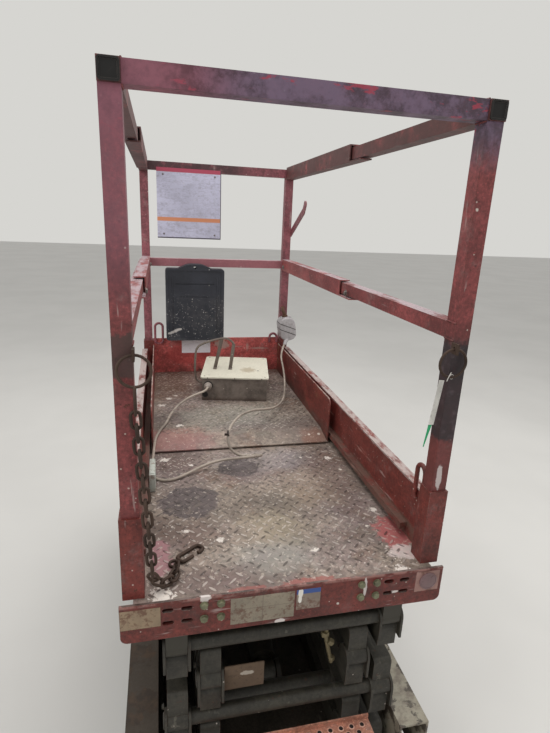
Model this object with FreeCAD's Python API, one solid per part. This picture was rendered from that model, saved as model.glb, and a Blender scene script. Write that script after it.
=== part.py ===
import FreeCAD, Part
import math
import os
from FreeCAD import Vector

# A compact electric scissor lift, stowed. Millimetres, +X right, +Y forward, +Z up,
# origin on the floor under the middle of the machine.

# Overall sizes
base_width = 810.0
overall_length = 1780.0
deck_height = 985.0
platform_width = 760.0
rail_height = 1060.0

# Wheels and axles
wheel_diameter = 318.0
tyre_width = 100.0
tyre_shoulder = 12.0
tyre_fit = 0.3
rim_diameter = 200.0
rim_width = 84.0
rim_wall = 12.0
rim_dish = 40.0
hub_radius = 40.0
hub_recess = 14.0
rear_axle_inset = 275.0
front_axle_inset = 200.0
wheel_outer_gap = 10.0
axle_diameter = 40.0
axle_beam = 60.0
axle_beam_gap = 10.0
axle_flange_radius = 34.0
axle_flange_gap = 5.0
axle_tip_inset = 14.0

# Steering
kingpin_inset = 160.0
kingpin_diameter = 32.0
kingpin_sleeve_radius = 28.0
sleeve_bottom_z = 212.0
sleeve_top_z = 262.0
knuckle_gap = 1.0
knuckle_bottom_z = 118.0
knuckle_top_z = 282.0
drive_drum_radius = 46.0
drive_drum_offset = 17.0
steer_arm_length = 85.0
steer_arm_width = 30.0
steer_arm_thickness = 12.0
steer_arm_z = 124.0
tie_pin_diameter = 16.0
tie_rod_diameter = 24.0
tie_rod_z = 110.0
tie_eye_thickness = 20.0
tie_eye_radius = 17.0

# Scissor stack
level_count = 4
arm_span_inset = 280.0
level_rise = 117.0
first_pin_z = 366.0
rear_pin_inset = 110.0
arm_width = 50.0
arm_height = 64.0
arm_wall = 5.0
arm_overhang = 12.0
arm_nose = 20.0
arm_nose_radius = 14.0
outer_arm_gap = 10.0
arm_pitch = 80.0
cheek_thickness = 6.0
cheek_radius = 28.0
boss_radius = 25.0
boss_web = 20.0
boss_side_gap = 1.0
pin_radius = 15.0
pin_fit = 0.05
cross_radius = 19.0
cross_wall = 4.0
centre_pin_gap = 2.0
centre_pin_head = 5.0
centre_pin_head_radius = 22.0
spacer_radius = 24.0

# Arm rollers and their tracks
roller_radius = 16.0
roller_gap = 0.5
roller_neck = 2.0
track_wall = 5.0
track_side_gap = 1.0
track_lip_gap = 5.0
track_front_room = 41.6
track_rear_share = 0.4333

# Lift cylinder
cylinder_low_share = 0.86
cylinder_high_share = 0.06
barrel_radius = 42.0
barrel_length = 880.0
barrel_start = 36.0
barrel_floor = 30.0
rod_end_gap = 20.0
rod_radius = 25.0
eye_radius = 32.0
eye_width = 54.0
ear_gap = 5.0
ear_thickness = 14.0
ear_radius = 28.0
low_ear_setback = 60.0
high_ear_setback = 26.0
cylinder_pin_radius = 16.0
cross_inset = 90.0

# Chassis
pan_thickness = 8.0
pan_top = 332.0
pan_rear_inset = 78.0
rear_sill_bottom = 200.0
side_member_width = 40.0
side_member_top = 360.0
side_member_inset = 100.0
member_wall = 6.0
belly_inset = 215.0
belly_bottom = 105.0
belly_end_gap = 5.0
belly_wall = 12.0
spine_inset = 290.0
spine_bottom = 150.0
spine_front_gap = 28.0
bumper_thickness = 12.0
ledge_top = 500.0
ledge_plate = 6.0
ledge_width = 85.0
ledge_rear_inset = 50.0
fender_bottom = 333.0
fender_gap = 12.0

# Swing-out trays
tray_front_room = 106.0
tray_rear_room = 21.0
tray_depth = 180.0
tray_bottom = 135.0
tray_panel = 6.0
tray_top_gap = 6.0
tray_wall_height = 140.0
tray_hinge_set_in = 8.0
hinge_radius = 7.0
hinge_pin_radius = 4.0
hinge_leaf = 4.0
hinge_leaf_lap = 12.0
hinge_reach = 10.0
base_hinge_heights = ((345.0, 385.0), (440.0, 480.0))
tray_hinge_heights = (386.0, 439.0)
battery_width = 140.0
battery_height = 165.0
battery_room = 120.0
hydraulic_width = 130.0
hydraulic_height = 160.0
hydraulic_room = 220.0

# Ladder and pothole guards
step_inset = 177.0
step_heights = (285.0, 535.0)
step_plate = 4.0
step_lip = 14.0
stringer_thickness = 6.0
stringer_depth = 30.0
stringer_drop = 40.0
ladder_depth = 70.0
guard_thickness = 12.0
guard_bottom = 60.0
guard_top = 116.0
guard_arm_height = 8.0
guard_arm_width = 40.0
guard_arm_inset = 120.0

# Platform
deck_plate = 6.0
deck_rear_inset = 86.0
deck_front_inset = 110.0
cross_member_width = 50.0
cross_member_mid_y = -30.0
rear_plate_overhang = 12.0
rear_plate_height = 100.0
rear_plate_thickness = 6.0
rear_plate_corner = 16.0
slot_places = (246.0, 288.0)
slot_drops = (24.0, 58.0)
slot_length = 26.0
slot_width = 11.0
side_channel_width = 45.0
side_channel_wall = 5.0
side_board_inset = 22.0
side_board_thickness = 4.0
side_board_height = 163.0
side_board_flange = 26.0
runner_width = 21.0
runner_height = 20.0
runner_bottom = 20.0
runner_rear_inset = 132.0

# Guard rails
rail_tube = 38.0
rail_wall = 3.0
socket_tube = 48.0
socket_height = 203.0
socket_fit = 0.3
mid_rail_share = 0.564151
entry_post_gap = 19.0
main_rail_front_gap = 10.0
end_cap = 5.0
sleeve_gap = 5.0
sleeve_wall = 4.0
sleeve_length = 862.0
sleeve_lip_length = 961.0
front_post_gap = 16.0

# Rings and loops
ring_set_out = 2.0
ring_drop = 38.0
ring_radius = 32.0
ring_bar = 6.0
ring_lug_reach = 24.0
ring_lug_thickness = 5.0
ring_lug_hole = 4.5
anchor_length = 120.0
anchor_width = 50.0
anchor_bar = 12.0
anchor_leg = 25.0
anchor_rise = 243.0
front_loop_places = ((-300.0, 269.0), (298.0, 211.0))
seat_gap = 0.3

# Extension deck
extension_side_gap = 7.0
extension_length = 881.0
extension_plate = 4.0
extension_height = 30.0
extension_ramp = 90.0
extension_tip = 9.0
extension_bar = 25.0
extension_lip = 6.0
pad_gap = 0.3
pad_height = 5.0
pad_size = 40.0
pad_inset = 30.0
extension_board_height = 150.0
extension_board_corner = 25.0
front_board_height = 183.0

# Things on the extension
contact_gap = 0.3
placard_edges = (-294.0, 10.0)
placard_drop = 26.0
placard_height = 320.0
placard_thickness = 3.0
manual_box_edges = (-263.0, 25.0)
manual_box_drop = 3.0
manual_box_depth = 55.0
manual_box_corner = 60.0
handle_thickness = 6.0
handle_half_width = 16.0
handle_points = ((16.0, 157.0), (-206.0, 267.0), (-226.0, 297.0))
outlet_size = (84.0, 80.0, 120.0)
outlet_middle = (0.0, -76.0, 250.0)
outlet_corner = 20.0
outlet_lean = -10.0
outlet_arm = (24.0, 40.0)
relief_length = 55.0
relief_radius = 13.0
relief_wall = 2.0
control_size = (290.0, 330.0, 110.0)
control_middle = (54.6, -297.5)
control_turn = -10.0
control_lid = 6.0
control_brim = 7.0
control_corner = 12.0
hoop_rod = 10.0
hoop_y = -24.0
hoop_foot_drop = 74.0
hoop_bow = ((-28.0, -74.0), (-46.0, -50.0), (-46.0, 40.0), (-40.0, 95.0), (-7.0, 119.0))
hoop_top = ((79.0, 146.0), (115.0, 142.0), (134.0, 120.0))
hoop_strap_places = (48.0, 119.5)
hoop_strap = (16.0, 4.0)
hoop_strap_foot = 22.0

# Control cord, from the gland on the control box to the outlet's strain relief
cord_diameter = 8.0
gland_radius = 18.0
gland_length = 45.0
cord_arc_share = 0.45
cord_datum_y = 796.0
cord_points = (
    (-95.5, 326.0, 1086.0),
    (-104.0, 281.0, 1087.0),
    (-168.0, 240.0, 1082.0),
    (-222.0, 215.0, 1058.0),
    (-260.0, 165.0, 1034.0),
    (-276.0, 105.0, 1022.0),
    (-294.0, 45.0, 1020.3),
    (-309.0, -20.0, 1020.6),
    (-312.0, -90.0, 1027.0),
    (-317.0, -160.0, 1022.0),
    (-329.0, -217.0, 996.0),
    (-320.0, -274.0, 989.6),
    (-272.0, -292.0, 989.8),
    (-214.0, -260.0, 993.5),
    (-155.0, -226.0, 1004.0),
    (-95.0, -223.0, 1017.0),
    (-37.0, -242.0, 1029.0),
    (14.0, -243.0, 1032.0),
    (43.5, -215.5, 1020.0),
    (43.5, -178.5, 1003.0),
    (14.5, -155.0, 991.0),
    (-24.0, -155.5, 991.5),
    (-58.0, -155.5, 1016.5),
    (-68.0, -135.0, 1050.0),
    (-57.0, -98.0, 1072.0),
    (-32.0, -50.0, 1083.0),
    (2.0, -6.0, 1090.0),
    (56.0, 36.0, 1089.0),
    (118.0, 92.0, 1066.0),
    (175.0, 160.0, 1044.0),
    (230.0, 250.0, 1036.0),
    (262.0, 345.0, 1046.0),
    (284.0, 440.0, 1068.0),
    (300.0, 535.0, 1098.0),
    (300.0, 622.0, 1151.0),
    (330.0, 664.0, 1188.0),
)
connector_size = (24.0, 26.0, 64.0)
connector_middle = (-322.0, -250.0)
connector_slot = (18.0, 24.0)

# Entry chain, from the left ring down to the deck
chain_bar = 7.0
chain_length = 43.0
chain_width = 26.0
chain_arc_steps = 6
chain_play = 1.6
chain_datum_y = -804.0
snap_length = 64.0
snap_width = 22.0
snap_bar = 6.0
chain_path = (
    (-324.0, -811.0, 1190.0),
    (-318.0, -788.0, 1038.0),
    (-309.0, -776.0, 1013.0),
    (-294.0, -769.0, 1001.0),
    (-277.0, -756.0, 998.6),
    (-268.0, -735.0, 998.6),
    (-266.0, -712.0, 998.2),
)
floor_link_rise = 1012.0
hook_eye = (30.0, 30.0)
hook_size = (72.0, 34.0)
hook_bar = 8.0
hook_eye_place = (-270.0, -690.0)
hook_place = (-229.0, -659.0)
hook_turn = -53.0
hook_mouth = 14.0


def box(x0, x1, y0, y1, z0, z1):
    """Return a block between two corners."""
    return Part.makeBox(x1 - x0, y1 - y0, z1 - z0, Vector(x0, y0, z0))


def rod(radius, start, end):
    """Return a round bar between two points."""
    start = Vector(*start)
    way = Vector(*end) - start
    return Part.makeCylinder(radius, way.Length, start, way)


def pipe(radius, bore, start, end):
    """Return a round tube between two points."""
    return rod(radius, start, end).cut(rod(bore, start, end))


def square_tube(x0, x1, y0, y1, z0, z1, wall, axis):
    """Return a rectangular tube whose open ends lie along the axis 'x', 'y' or 'z'."""
    inset = {"x": (0, wall, wall), "y": (wall, 0, wall), "z": (wall, wall, 0)}[axis]
    inner = box(x0 + inset[0], x1 - inset[0], y0 + inset[1], y1 - inset[1], z0 + inset[2], z1 - inset[2])
    return box(x0, x1, y0, y1, z0, z1).cut(inner)


def fuse(shapes):
    """Return one clean solid made of touching shapes."""
    first, rest = shapes[0], shapes[1:]
    return first.fuse(rest).removeSplitter() if rest else first


def mirror_x(shape):
    """Return the shape's twin on the other side of the machine."""
    return shape.mirror(Vector(0, 0, 0), Vector(1, 0, 0))


def both_sides(shape):
    """Return a pair of solids, one on each side."""
    return Part.makeCompound([shape, mirror_x(shape)])


# Places that several pieces share
half_width = base_width / 2
rear_end_y = -overall_length / 2
front_end_y = overall_length / 2
bumper_rear_y = front_end_y - bumper_thickness
wheel_radius = wheel_diameter / 2
rim_radius = rim_diameter / 2
wheel_x = half_width - wheel_outer_gap - tyre_width / 2
rear_axle_y = rear_end_y + rear_axle_inset
front_axle_y = front_end_y - front_axle_inset
axle_beam_reach = half_width - wheel_outer_gap - tyre_width - axle_beam_gap
axle_flange_x = half_width - wheel_outer_gap - tyre_width + axle_flange_gap
axle_tip_x = half_width - axle_tip_inset
kingpin_x = half_width - kingpin_inset
drive_drum_x = kingpin_x + drive_drum_offset
arm_span = overall_length - arm_span_inset
rear_pin_y = rear_end_y + rear_pin_inset
arm_reach = math.sqrt(arm_span ** 2 - level_rise ** 2)
front_pin_y = rear_pin_y + arm_reach
centre_pin_y = (rear_pin_y + front_pin_y) / 2
side_member_x = half_width - side_member_inset
outer_arm_x = side_member_x - outer_arm_gap - arm_width
inner_arm_x = outer_arm_x - arm_pitch
track_front_y = front_pin_y + track_front_room
track_rear_y = rear_pin_y + arm_span * track_rear_share
pan_rear_y = rear_end_y + pan_rear_inset
belly_half_width = half_width - belly_inset
spine_half_width = half_width - spine_inset
spine_front_y = bumper_rear_y - spine_front_gap
ledge_inner_x = half_width - ledge_width
ledge_rear_y = rear_end_y + ledge_rear_inset
tray_front_y = front_axle_y - wheel_radius - tray_front_room
tray_rear_y = rear_axle_y + wheel_radius + tray_rear_room
belly_front_y = tray_front_y + belly_end_gap
belly_rear_y = tray_rear_y - belly_end_gap
step_half_width = half_width - step_inset
ladder_front_y = rear_end_y + ladder_depth
deck_rear_y = rear_end_y + deck_rear_inset
deck_front_y = front_end_y - deck_front_inset
pan_bottom = pan_top - pan_thickness
tray_hinge_x = half_width - tray_hinge_set_in
tray_hinge_y = tray_rear_y - hinge_reach
tray_top = ledge_top - ledge_plate - tray_top_gap
deck_under = deck_height - deck_plate
frame_bottom = deck_height - rear_plate_height
rail_top = deck_height + rail_height
rail_bottom = rail_top - rail_tube
rail_out = platform_width / 2
rail_in = rail_out - rail_tube
mid_rail_z = deck_height + rail_height * mid_rail_share
entry_post_y = deck_rear_y + entry_post_gap
main_rail_front_y = deck_front_y - main_rail_front_gap
front_post_y = deck_front_y + front_post_gap
sleeve_rear_y = front_post_y - sleeve_length
sleeve_lip_rear_y = front_post_y - sleeve_lip_length
rear_plate_width = platform_width + 2 * rear_plate_overhang
side_board_x = rail_out - side_board_inset
runner_inner_x = side_board_x - runner_width
extension_rear_y = front_post_y - extension_length
runner_rear_y = deck_rear_y + runner_rear_inset
extension_half_width = runner_inner_x - extension_side_gap
extension_ramp_y = extension_rear_y + extension_ramp
ring_top = mid_rail_z - ring_drop
anchor_top = deck_height + anchor_rise
placard_top = rail_top - placard_drop
placard_bottom = placard_top - placard_height
manual_box_top = mid_rail_z - manual_box_drop
socket_front_y = entry_post_y + rail_tube + (socket_tube - rail_tube) / 2
sleeve_in = rail_in - sleeve_gap - sleeve_wall
front_post_out = sleeve_in + rail_tube
extension_top = deck_height + extension_height
extension_under = extension_top - extension_plate
manual_box_bottom = extension_top + front_board_height + contact_gap
cord_route = [(x, y + front_post_y - cord_datum_y, z) for x, y, z in cord_points]
chain_shift = deck_rear_y - chain_datum_y

# The lift cylinder's foot on the first inner arm and its head on the third
cylinder_foot = (rear_pin_y + arm_reach * (1 - cylinder_low_share),
                 first_pin_z + level_rise * cylinder_low_share)
cylinder_head = (rear_pin_y + arm_reach * (1 - cylinder_high_share),
                 first_pin_z + level_rise * (2 + cylinder_high_share))
cylinder_length = math.dist(cylinder_foot, cylinder_head)
cylinder_way = ((cylinder_head[0] - cylinder_foot[0]) / cylinder_length,
                (cylinder_head[1] - cylinder_foot[1]) / cylinder_length)
cylinder_ears = {
    0: (cylinder_foot[0] - low_ear_setback, cylinder_foot, True),
    2: (cylinder_head[0] - high_ear_setback, cylinder_head, False),
}
# Cross tubes of the inner frames, as Y places by level
inner_cross_places = {
    0: (cylinder_foot[0] - low_ear_setback,),
    1: (rear_pin_y + cross_inset,),
    2: (rear_pin_y + 2 * cross_inset, cylinder_head[0] - high_ear_setback),
    3: (rear_pin_y + cross_inset, front_pin_y - cross_inset),
}


def pin_z(node):
    """Return the height of a pin row, counted from the base."""
    return first_pin_z + level_rise * node


def link_plate(x0, x1, start, end, radius):
    """Return a flat bar with round ends between two (y, z) points."""
    way = Vector(0, end[0] - start[0], end[1] - start[1])
    across = Vector(0, -way.z, way.y).normalize() * radius
    low, high = Vector(x0, *start), Vector(x0, *end)
    outline = [low + across, low - across, high - across, high + across, low + across]
    body = Part.Face(Part.makePolygon(outline)).extrude(Vector(x1 - x0, 0, 0))
    ends = [rod(radius, (x0, *point), (x1, *point)) for point in (start, end)]
    return fuse([body] + ends)


# Scissor arms

def arm_tube(x0, z):
    """Return one arm's tube with closed ends, rounded over at the top."""
    x1 = x0 + arm_width
    y0, y1 = rear_pin_y - arm_overhang, front_pin_y + arm_overhang
    low, high = z - arm_height / 2, z + arm_height / 2
    pieces = [square_tube(x0, x1, y0 + arm_nose, y1 - arm_nose, low, high, arm_wall, "y")]
    for end, inner in ((y0, y0 + arm_nose), (y1, y1 - arm_nose)):
        block = box(x0, x1, min(end, inner), max(end, inner), low, high)
        brow = [edge for edge in block.Edges
                if edge.BoundBox.XLength > arm_width / 2 and edge.BoundBox.ZMin > z
                and abs(edge.BoundBox.YMin - end) < 1]
        pieces.append(block.makeFillet(arm_nose_radius, brow))
    return fuse(pieces)


def arm_boss(x0, pin_y, z, tube_z, out):
    """Return a lower boss and the web that joins it to its tube above."""
    x1 = x0 + arm_width
    edges = sorted((pin_y - out * boss_web, pin_y + out * arm_overhang))
    boss = rod(boss_radius, (x0, pin_y, z), (x1, pin_y, z))
    web = box(x0, x1, edges[0], edges[1], z, tube_z - arm_height / 2)
    return [boss, web]


def arm_cheeks(x0, pin_y, z, tube_z, out):
    """Return the two plates at a tube's upper pin, their weld pads and the pin."""
    x1 = x0 + arm_width
    leg_low = tube_z
    pad_edges = sorted((pin_y - out * cheek_radius, pin_y + out * arm_overhang))
    pieces = []
    for face, way in ((x0, -1), (x1, 1)):
        near, far = face + way * boss_side_gap, face + way * (boss_side_gap + cheek_thickness)
        low, high = min(near, far), max(near, far)
        pad = sorted((face, near))
        pieces.append(rod(cheek_radius, (low, pin_y, z), (high, pin_y, z)))
        pieces.append(box(low, high, pin_y - cheek_radius, pin_y + cheek_radius, leg_low, z))
        pieces.append(box(pad[0], pad[1], pad_edges[0], pad_edges[1], leg_low, tube_z + arm_height / 2))
    reach = boss_side_gap + cheek_thickness
    pieces.append(rod(pin_radius, (x0 - reach, pin_y, z), (x1 + reach, pin_y, z)))
    return pieces


def arm_frame(level, rising, outer):
    """Return one arm frame: two tubes with their bosses, plates, pins and cross tubes."""
    x0 = outer_arm_x if outer else inner_arm_x
    x1 = x0 + arm_width
    tube_z = (pin_z(level) + pin_z(level + 1)) / 2
    low_y, low_out = (rear_pin_y, -1) if rising else (front_pin_y, 1)
    high_y, high_out = (front_pin_y, 1) if rising else (rear_pin_y, -1)
    low_z, high_z = pin_z(level), pin_z(level + 1)
    pieces = [arm_tube(x0, tube_z)] + arm_boss(x0, low_y, low_z, tube_z, low_out)
    pieces += arm_cheeks(x0, high_y, high_z, tube_z, high_out)
    bores = []
    slides_low = level == 0 and not rising
    slides_high = level == level_count - 1 and rising
    if slides_low:
        pieces.append(rod(pin_radius, (x1, low_y, low_z), (outer_arm_x, low_y, low_z)))
        pieces.append(rod(roller_radius, (x1 + roller_neck, low_y, low_z), (outer_arm_x, low_y, low_z)))
    else:
        bores.append(rod(pin_radius + pin_fit, (x0 - 1, low_y, low_z), (x1 + 1, low_y, low_z)))
    if slides_high:
        pieces.append(rod(roller_radius, (x1 + boss_side_gap, high_y, high_z), (outer_arm_x, high_y, high_z)))
    if outer:
        inside = inner_arm_x - centre_pin_gap - centre_pin_head
        pieces.append(rod(pin_radius, (inside, centre_pin_y, tube_z), (x1, centre_pin_y, tube_z)))
        pieces.append(rod(centre_pin_head_radius, (inside, centre_pin_y, tube_z),
                          (inside + centre_pin_head, centre_pin_y, tube_z)))
        spacer_x = inner_arm_x + arm_width + centre_pin_gap
        pieces.append(rod(spacer_radius, (spacer_x, centre_pin_y, tube_z), (x0, centre_pin_y, tube_z)))
    else:
        pieces.append(rod(spacer_radius, (x0, centre_pin_y, tube_z), (x1, centre_pin_y, tube_z)))
        bores.append(rod(pin_radius + pin_fit, (x0 - 1, centre_pin_y, tube_z),
                         (x1 + 1, centre_pin_y, tube_z)))
    half = fuse(pieces)
    for bore in bores:
        half = half.cut(bore)
    return fuse([half, mirror_x(half)] + arm_cross_tubes(level, rising, outer))


def arm_cross_tubes(level, rising, outer):
    """Return the tubes across one frame, and the cylinder's ears where it has them."""
    tube_z = (pin_z(level) + pin_z(level + 1)) / 2
    if outer:
        reach = outer_arm_x - boss_side_gap - cheek_thickness
        pin_y = front_pin_y if rising else rear_pin_y
        z = pin_z(level + 1)
        return [pipe(cross_radius, cross_radius - cross_wall, (-reach, pin_y, z), (reach, pin_y, z))]
    pieces = []
    places = [(y, tube_z) for y in inner_cross_places[level]]
    if level == 0:
        places.append((front_pin_y, pin_z(0)))
    for y, z in places:
        ends = ((-inner_arm_x, y, z), (inner_arm_x, y, z))
        pieces.append(pipe(cross_radius, cross_radius - cross_wall, *ends))
    if level in cylinder_ears:
        (cross_y, eye_point, bored) = cylinder_ears[level]
        for side in (-1, 1):
            inner = eye_width / 2 + ear_gap
            edges = sorted((side * inner, side * (inner + ear_thickness)))
            ear = link_plate(*edges, (cross_y, tube_z), eye_point, ear_radius)
            if bored:
                bore_ends = ((edges[0] - 1, *eye_point), (edges[1] + 1, *eye_point))
                ear = ear.cut(rod(cylinder_pin_radius + pin_fit, *bore_ends))
            pieces.append(ear)
    return pieces


# Lift cylinder

def cylinder_point(distance):
    """Return a point on the cylinder's axis, measured from its foot pin."""
    return (0, cylinder_foot[0] + cylinder_way[0] * distance, cylinder_foot[1] + cylinder_way[1] * distance)


def make_lift_barrel():
    reach = eye_width / 2 + ear_gap + ear_thickness
    foot = cylinder_point(0)
    pin = rod(cylinder_pin_radius, (-reach, foot[1], foot[2]), (reach, foot[1], foot[2]))
    eye = rod(eye_radius, (-eye_width / 2, foot[1], foot[2]), (eye_width / 2, foot[1], foot[2]))
    tube = rod(barrel_radius, cylinder_point(barrel_start), cylinder_point(barrel_start + barrel_length))
    neck = rod(rod_radius, cylinder_point(0), cylinder_point(barrel_start))
    bore = rod(rod_radius + pin_fit, cylinder_point(barrel_start + barrel_floor),
               cylinder_point(barrel_start + barrel_length + 1))
    return fuse([pin, eye, neck, tube]).cut(bore)


def make_lift_rod():
    head = cylinder_point(cylinder_length)
    eye = rod(eye_radius, (-eye_width / 2, head[1], head[2]), (eye_width / 2, head[1], head[2]))
    return fuse([rod(rod_radius, cylinder_point(barrel_start + barrel_floor + rod_end_gap), head), eye])


# Chassis

def make_chassis():
    pan = box(-side_member_x, side_member_x, pan_rear_y, spine_front_y, pan_bottom, pan_top)
    pieces = [pan]
    belly = box(-belly_half_width, belly_half_width, belly_rear_y, belly_front_y, belly_bottom, pan_bottom)
    pieces.append(belly.cut(box(-belly_half_width + belly_wall, belly_half_width - belly_wall,
                                belly_rear_y + belly_wall, belly_front_y - belly_wall,
                                belly_bottom + belly_wall, pan_bottom - belly_wall)))
    pieces.append(square_tube(-spine_half_width, spine_half_width, belly_front_y, spine_front_y,
                              spine_bottom, pan_bottom, belly_wall, "y"))
    pieces.append(square_tube(-spine_half_width, spine_half_width, pan_rear_y, belly_rear_y,
                              wheel_radius + axle_beam / 2, pan_bottom, belly_wall, "y"))
    for side in (-1, 1):
        edges = sorted((side * side_member_x, side * (side_member_x + side_member_width)))
        pieces.append(square_tube(*edges, ledge_rear_y, bumper_rear_y, pan_bottom, side_member_top,
                                  member_wall, "y"))
        pieces.append(front_beam(side))
        pieces += stack_feet(side)
    pieces.append(box(-half_width, half_width, bumper_rear_y, front_end_y, fender_bottom, ledge_top))
    pieces.append(box(-side_member_x, side_member_x, spine_front_y, bumper_rear_y, pan_bottom, pan_top))
    pieces.append(box(-side_member_x - side_member_width, side_member_x + side_member_width,
                      ladder_front_y, pan_rear_y, rear_sill_bottom, side_member_top))
    chassis = fuse(pieces)
    for side in (-1, 1):
        chassis = chassis.cut(rod(kingpin_diameter / 2 + pin_fit, (side * kingpin_x, front_axle_y, 0),
                                  (side * kingpin_x, front_axle_y, sleeve_top_z + 1)))
    return chassis


def front_beam(side):
    """Return one arm of the front axle beam with the kingpin's sleeve."""
    edges = sorted((side * spine_half_width, side * kingpin_x))
    beam = box(*edges, front_axle_y - kingpin_sleeve_radius, front_axle_y + kingpin_sleeve_radius,
               sleeve_bottom_z, sleeve_top_z)
    sleeve = rod(kingpin_sleeve_radius, (side * kingpin_x, front_axle_y, sleeve_bottom_z),
                 (side * kingpin_x, front_axle_y, sleeve_top_z))
    return fuse([beam, sleeve])


def stack_feet(side):
    """Return the bracket that holds the lowest rear pin on one side."""
    z = pin_z(0)
    pieces = []
    for face, way in ((outer_arm_x, -1), (outer_arm_x + arm_width, 1)):
        near, far = face + way * boss_side_gap, face + way * (boss_side_gap + cheek_thickness)
        edges = sorted((side * near, side * far))
        pieces.append(rod(cheek_radius, (edges[0], rear_pin_y, z), (edges[1], rear_pin_y, z)))
        pieces.append(box(*edges, rear_pin_y - cheek_radius, rear_pin_y + cheek_radius, pan_top, z))
    reach = boss_side_gap + cheek_thickness
    ends = sorted((side * (outer_arm_x - reach), side * (outer_arm_x + arm_width + reach)))
    pieces.append(rod(pin_radius, (ends[0], rear_pin_y, z), (ends[1], rear_pin_y, z)))
    return pieces


def arm_track(z, foot_z):
    """Return the left and right channels that guide the rollers at one height."""
    inside = roller_radius + roller_gap
    web_x = outer_arm_x + track_side_gap
    lip_x = inner_arm_x + arm_width + boss_side_gap + cheek_thickness + track_lip_gap
    web = box(web_x, web_x + track_wall, track_rear_y, track_front_y,
              min(foot_z, z - inside - track_wall), max(foot_z, z + inside + track_wall))
    lips = []
    for low in (z - inside - track_wall, z + inside):
        lips.append(box(lip_x, web_x, track_rear_y, track_front_y, low, low + track_wall))
    return fuse([web] + lips)


def make_base_tracks():
    return both_sides(arm_track(pin_z(0), pan_top))


def make_side_ledges():
    """Return the boxed ledges over the wheels."""
    top = box(ledge_inner_x, half_width, ledge_rear_y, bumper_rear_y, ledge_top - ledge_plate, ledge_top)
    inner = box(ledge_inner_x, ledge_inner_x + ledge_plate, ledge_rear_y, bumper_rear_y,
                side_member_top, ledge_top)
    pieces = [top, inner]
    for y0, y1 in ((ledge_rear_y, tray_hinge_y - fender_gap), (tray_front_y + fender_gap, bumper_rear_y)):
        pieces.append(box(half_width - ledge_plate, half_width, y0, y1, fender_bottom, ledge_top))
    for z0, z1 in base_hinge_heights:
        barrel = rod(hinge_radius, (tray_hinge_x, tray_hinge_y, z0), (tray_hinge_x, tray_hinge_y, z1))
        leaf = box(tray_hinge_x - hinge_leaf / 2, tray_hinge_x + hinge_leaf / 2,
                   tray_hinge_y - fender_gap - hinge_leaf_lap, tray_hinge_y, z0, z1)
        pieces += [barrel, leaf]
    ledge = fuse(pieces)
    low, high = base_hinge_heights[0][0] - 1, base_hinge_heights[-1][1] + 1
    pin_hole = rod(hinge_pin_radius + pin_fit, (tray_hinge_x, tray_hinge_y, low),
                   (tray_hinge_x, tray_hinge_y, high))
    return both_sides(ledge.cut(pin_hole))


def make_ladder():
    """Return the rear ladder: two stringers and two steps with a raised lip."""
    pieces = []
    for side in (-1, 1):
        edges = sorted((side * step_half_width, side * (step_half_width - stringer_thickness)))
        pieces.append(box(*edges, ladder_front_y - stringer_depth, ladder_front_y,
                          step_heights[0] - stringer_drop, step_heights[-1]))
    for z in step_heights:
        pieces.append(box(-step_half_width, step_half_width, rear_end_y, ladder_front_y, z - step_plate, z))
        pieces.append(box(-step_half_width, step_half_width, ladder_front_y - step_plate, ladder_front_y,
                          z, z + step_lip))
        pieces.append(box(-step_half_width, step_half_width, rear_end_y, rear_end_y + step_plate,
                          z - step_lip - step_plate, z))
    return fuse(pieces)


def make_rear_axle():
    beam = box(-axle_beam_reach, axle_beam_reach, rear_axle_y - axle_beam / 2, rear_axle_y + axle_beam / 2,
               wheel_radius - axle_beam / 2, wheel_radius + axle_beam / 2)
    pieces = [beam]
    for side in (-1, 1):
        start = (side * axle_beam_reach, rear_axle_y, wheel_radius)
        pieces.append(rod(axle_diameter / 2, start, (side * axle_tip_x, rear_axle_y, wheel_radius)))
        pieces.append(rod(axle_flange_radius, start, (side * axle_flange_x, rear_axle_y, wheel_radius)))
    return fuse(pieces)


def make_pothole_guards():
    inner = wheel_x + guard_thickness
    guard = box(inner, inner + guard_thickness, tray_rear_y, tray_front_y, guard_bottom, guard_top)
    arms = []
    for y in (tray_rear_y + guard_arm_inset, tray_front_y - guard_arm_inset - guard_arm_width):
        arms.append(box(belly_half_width, inner, y, y + guard_arm_width,
                        guard_top - guard_arm_height, guard_top))
    return both_sides(fuse([guard] + arms))


# Swing-out trays

def make_tray():
    """Return the right tray: outer panel, floor, end walls and hinge barrel."""
    inner = tray_hinge_x - tray_depth
    panel = box(tray_hinge_x, tray_hinge_x + tray_panel, tray_rear_y, tray_front_y, tray_bottom, tray_top)
    floor = box(inner, tray_hinge_x, tray_rear_y, tray_front_y, tray_bottom, tray_bottom + tray_panel)
    pieces = [panel, floor]
    for y in (tray_rear_y, tray_front_y - tray_panel):
        pieces.append(box(inner, tray_hinge_x, y, y + tray_panel,
                          tray_bottom, tray_bottom + tray_wall_height))
    z0, z1 = tray_hinge_heights
    pieces.append(rod(hinge_radius, (tray_hinge_x, tray_hinge_y, z0), (tray_hinge_x, tray_hinge_y, z1)))
    pieces.append(box(tray_hinge_x - hinge_leaf / 2, tray_hinge_x + hinge_leaf / 2, tray_hinge_y,
                      tray_rear_y + hinge_leaf_lap, z0, z1))
    low, high = base_hinge_heights[0][0], base_hinge_heights[-1][1]
    pieces.append(rod(hinge_pin_radius, (tray_hinge_x, tray_hinge_y, low),
                      (tray_hinge_x, tray_hinge_y, high)))
    return fuse(pieces)


def tray_block(width, height, room):
    """Return a plain block on the right tray's floor, with equal room before and behind it."""
    x0 = tray_hinge_x - (tray_depth + width) / 2
    z = tray_bottom + tray_panel
    return box(x0, x0 + width, tray_rear_y + room, tray_front_y - room, z, z + height)


# Steering and wheels

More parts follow.
